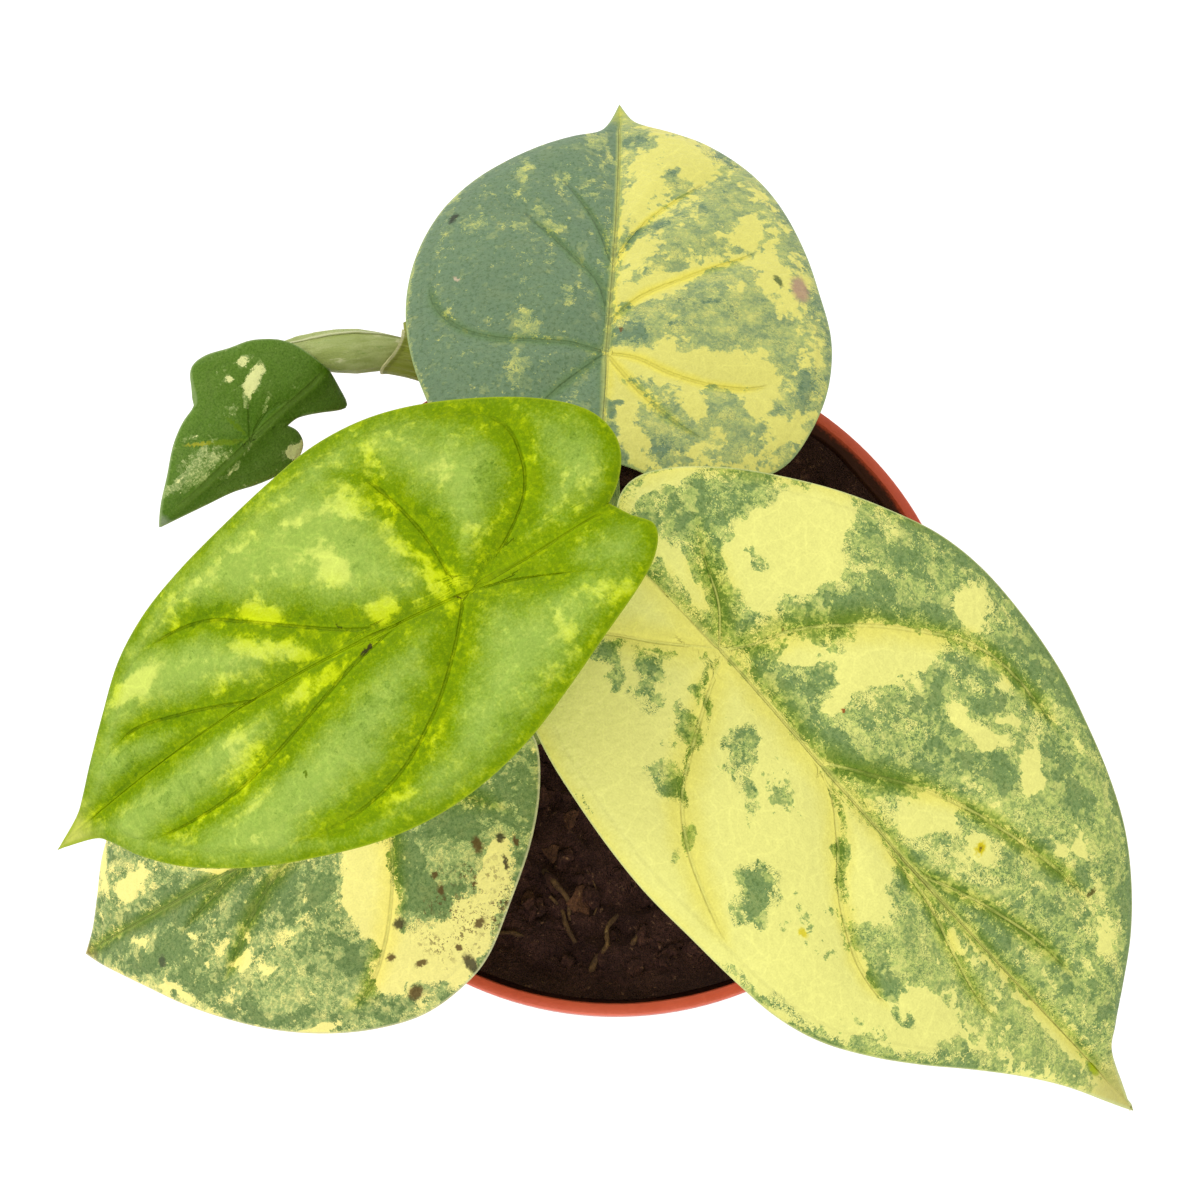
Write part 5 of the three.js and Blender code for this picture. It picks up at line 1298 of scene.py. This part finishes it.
# %% The sheath
SHOOT_ROOT = (-12, 38)
SHEATH_ROUTE = [(-12.3, 38.5, 92), (-15, 42, 97), (-21, 46.6, 101), (-28, 50.3, 104.2), (-35, 52, 107.2),
                (-40, 52.5, 108.8), (-45, 52.8, 109.6)]
SHEATH_RADII = [3.6, 3.7, 4, 4, 3.9, 3.9, 4]
MOUTH, MOUTH_NORMAL = np.array([-40.2, 52.4, 109]), np.array([-0.9, 0.42, 0.1])
MOUTH_RADIUS = 3.95
INSIDE = 12         # rows of the sheath that run back inside its mouth


def sheath():
    points = centripetal([(*SHOOT_ROOT, 88), *SHEATH_ROUTE])
    route = Route(np.vstack([[[*SHOOT_ROOT, SOIL_LEVEL - ROOTED]], points]), (0, 1, 0.4))
    out_of = MOUTH_NORMAL / np.linalg.norm(MOUTH_NORMAL)
    across = np.cross(out_of, (0, 0, 1))
    rows, stored = 90, {}

    def rule(a, b):
        angle = 2 * np.pi * a
        row = b * rows
        outer = np.clip((row - 1) / (rows - INSIDE - 2), 0, 1)
        back = np.clip((row - (rows - INSIDE)) / (INSIDE - 1), 0, 1)
        # How far each line of the tube runs before the slanting mouth cuts it.
        reach = np.full(len(a), 0.9)
        for _ in range(12):
            from_middle = route.around(reach, np.full(len(a), MOUTH_RADIUS), angle) - MOUTH
            past = from_middle @ out_of + 1.2 * (1 - np.clip(from_middle @ across / 4.2, -1, 1) ** 2)
            reach = np.clip(reach - past / route.length * 0.9, 0.5, 1)
        t = reach * outer - back * 0.09
        r = np.interp(t, np.linspace(0, 1, len(SHEATH_RADII)), SHEATH_RADII)
        ribs = 0.05 * np.cos(14 * angle) * np.clip(t * 3, 0, 1)
        lip = 0.22 * np.exp(-((t - reach) * route.length / 0.7) ** 2)
        r = (r + ribs + lip) * np.where(row > rows - INSIDE - 0.5, 0.86, 1)
        r = r * ((row > 0.5) & (row < rows - 0.5))
        stored["wrap"] = np.column_stack([np.cos(angle) * r, np.sin(angle) * r, t * route.length])
        stored["mouth"] = np.column_stack([(reach - t) * route.length, t, back])
        return route.around(t, r, angle)

    piece = sheet("shoot_sheath", 44, rows, rule)
    for key, values in stored.items():
        store(piece, key, values)
    return welded(piece)


shoot = sheath()
tip = tube("sheath_tip", centripetal([(-35.2, 52, 108.3), (-36.9, 55, 109), (-37.9, 57.7, 109.7)]),
           lambda t, angle: (2.2 - 1.75 * t) * (1 - 0.35 * np.abs(np.sin(angle)) * t), 20, 18)
store(tip, "mouth", np.full((len(tip.data.vertices), 3), (9.0, 0.8, 0.0)))      # far from the mouth, and outside
shoot = placed_in(joined("shoot_sheath", [shoot, tip]), "sheath", "small_petiole")

# %% The thin petiole and the rolled leaf
THIN_ROUTE = [(-29, 50.6, 102.8), (-40, 54.4, 101.2), (-50, 55.6, 100.4), (-57.5, 53.2, 100.6), (-62.5, 45.5, 102)]
THIN_RADII = [1.9, 1.8, 1.7, 1.6, 1.5, 1.1]
end, out = under(LEAVES["small"], -0.2)
thin = tube("thin_stalk", centripetal([*THIN_ROUTE, end - out * 4.6, end - out * 1.6, end]),
            lambda t, angle: np.interp(t, np.linspace(0, 1, 6), THIN_RADII) * (
                1 - 0.14 * np.exp(-(facing(angle) / 0.7) ** 2)), 22, 90)
placed_in(thin, "petiole")

ROLL_ROUTE = [(-31, 51.3, 105.6), (-38, 52.3, 108.2), (-46, 52.2, 109.2), (-54, 53.2, 106.8), (-60.5, 54.8, 104.5)]
ROLL_RADII = np.array([2, 2.3, 2.6, 3.2, 3.7, 3.6, 3.2, 2.2, 0.5])
OVERLAP = 1.12      # turns of the blade round itself, seen from outside


def rolled_leaf():
    route, stored = Route(centripetal(ROLL_ROUTE), (0, -0.6, 1)), {}

    def rule(a, t):
        angle = 2 * np.pi * (OVERLAP * a + 0.30 - 0.22 * t)
        r = np.interp(t, np.linspace(0, 1, 9), ROLL_RADII)
        r = r * (1.02 - 0.09 * a) - 0.1 * np.exp(-((a - 0.03) / 0.04) ** 2)
        r = r * (1 + 0.012 * np.cos(2 * np.pi * a * 13))
        stored["wrap"] = np.column_stack([a, np.sin(angle) * r, t * route.length])
        return route.around(t, r, angle)

    piece = sheet("rolled_leaf", 56, 90, rule)
    store(piece, "wrap", stored["wrap"])
    return thickened(piece, 0.22, offset=1)


roll = placed_in(rolled_leaf(), "new_leaf", "new_leaf")

# %% [markdown]
# The stems are pale green with darker streaks along them. The sheath is olive
# with a cream margin, and the rolled leaf shows its pale underside, streaked
# like the blades.

# %% Finishes of the stems
def stem_finish(name, pale, deep, streak, base):
    material, start, shader = finish(name, Roughness=0.5, Specular_IOR_Level=0.35)
    x, y, along = start.read("wrap")
    flow = start.point(x, y, along * 0.13)
    place = start.point(x, y, along)
    grain = place.noise(3.0, 2)
    mottle = flow.noise(0.9, 5, 0.66) + place.noise(0.35, 4) * 0.4
    tint = mottle.step(-0.25, 0.35).mix(pale, deep)
    tint = ((flow.moved((5, 3, 1)).noise(1.3, 4, 0.6) - 0.3).step(0, 0.2) * 0.75).mix(tint, streak)
    tint = ((along + place.noise(0.3, 3) * 5).step(34, 14) * 0.7).mix(tint, base)
    surfaced(shader, tint, 1.0 + grain * 0.05, 0.46 + grain * 0.06,
             flow.noise(2.6, 3) * 0.4 + grain * 0.1 + 0.5, 0.00025)
    return material


for name, piece in petioles.items():
    piece.data.materials.append(stem_finish(name + "_stalk_finish", (156, 178, 92), (104, 134, 60), (214, 216, 140),
                                            (176, 170, 116)))
thin.data.materials.append(stem_finish("thin_stalk_finish", (148, 160, 88), (104, 124, 56), (196, 196, 130),
                                       (150, 158, 92)))


def sheath_finish():
    material, start, shader = finish("sheath_finish", Roughness=0.52, Specular_IOR_Level=0.35)
    x, y, along = start.read("wrap")
    from_mouth, share, back = start.read("mouth")
    flow, place = start.point(x, y, along * 0.1), start.point(x, y, along)
    grain = place.noise(3.0, 2)
    tint = flow.noise(1.2, 5, 0.66).step(-0.5, 0.6).mix((148, 156, 50), (166, 170, 82))
    tint = ((flow.moved((4, 1, 2)).noise(1.6, 4, 0.6) - 0.25).step(0, 0.25) * 0.6).mix(tint, (182, 182, 118))
    tint = (share.step(0.3, 0.05) * 0.7).mix(tint, (178, 168, 120))
    hem = (from_mouth + place.noise(0.8, 2) * 0.08).step(0.6, 0.3)
    tint = (hem * 0.9).mix(tint, (222, 216, 160))
    tint = (abs(from_mouth - 0.9 + grain * 0.15).step(0.5, 0.1) * 0.45).mix(tint, (112, 116, 44))
    # painted shade: the inside of the mouth is drawn darker olive
    tint = (back * 0.6).mix(tint, (110, 122, 56))
    surfaced(shader, tint, 1.0 + grain * 0.05, 0.5 + grain * 0.06 - hem * 0.06,
             flow.noise(3.0, 3) * 0.45 + grain * 0.1 + 0.5, 0.0003)
    return material


def roll_finish():
    material, start, shader = finish("rolled_leaf_finish", Roughness=0.5, Specular_IOR_Level=0.35)
    round_it, _, along = start.read("wrap")
    place = start.point(round_it * 19, along)
    flow = start.point(round_it * 26, along * 0.28)
    grain = place.noise(3.2, 2)
    streaks = flow.noise(0.5, 5, 0.66)
    tint = (streaks + grain * 0.12).step(-0.3, 0.5).mix((150, 162, 84), (174, 182, 114))
    tint = ((flow.moved((3, 8, 0)).noise(0.34, 4, 0.6) - 0.28).step(0, 0.14) * 0.75).mix(tint, (212, 212, 158))
    tint = ((flow.moved((13, 2, 0)).noise(0.45, 5, 0.7) - 0.3).step(0, 0.18) * 0.7).mix(tint, (126, 150, 70))
    band = abs(round_it - 0.36 + streaks * 0.015).step(0.1, 0.03) * along.step(6, 12)
    tint = (band * 0.5).mix(tint, (196, 202, 164))
    hem = (round_it + streaks * 0.004).step(0.03, 0.012)
    tint = (hem * 0.5).mix(tint, (214, 212, 168))
    surfaced(shader, tint, 1.0 + grain * 0.05, 0.46 + grain * 0.06, streaks * 0.5 + grain * 0.1 + 0.5, 0.00025)
    return material


shoot.data.materials.append(sheath_finish())
roll.data.materials.append(roll_finish())

# %% [markdown]
# ## Floor
#
# The photograph is cut out on white, so the floor is a pale sheet that shines a
# little and so takes no shadow.

# %% The floor's finish
floor_material, floor_start, floor_shader = finish("pale_floor", Roughness=0.85, Specular_IOR_Level=0.1)
pale = (here(floor_start).noise(0.04, 4) + 0.5).mix((172, 172, 170), (184, 184, 184))
feed(pale, floor_shader, "Base Color")
floor_shader.inputs["Emission Color"].default_value = (1, 1, 1, 1)
floor_shader.inputs["Emission Strength"].default_value = 0.8
floor.data.materials.append(floor_material)
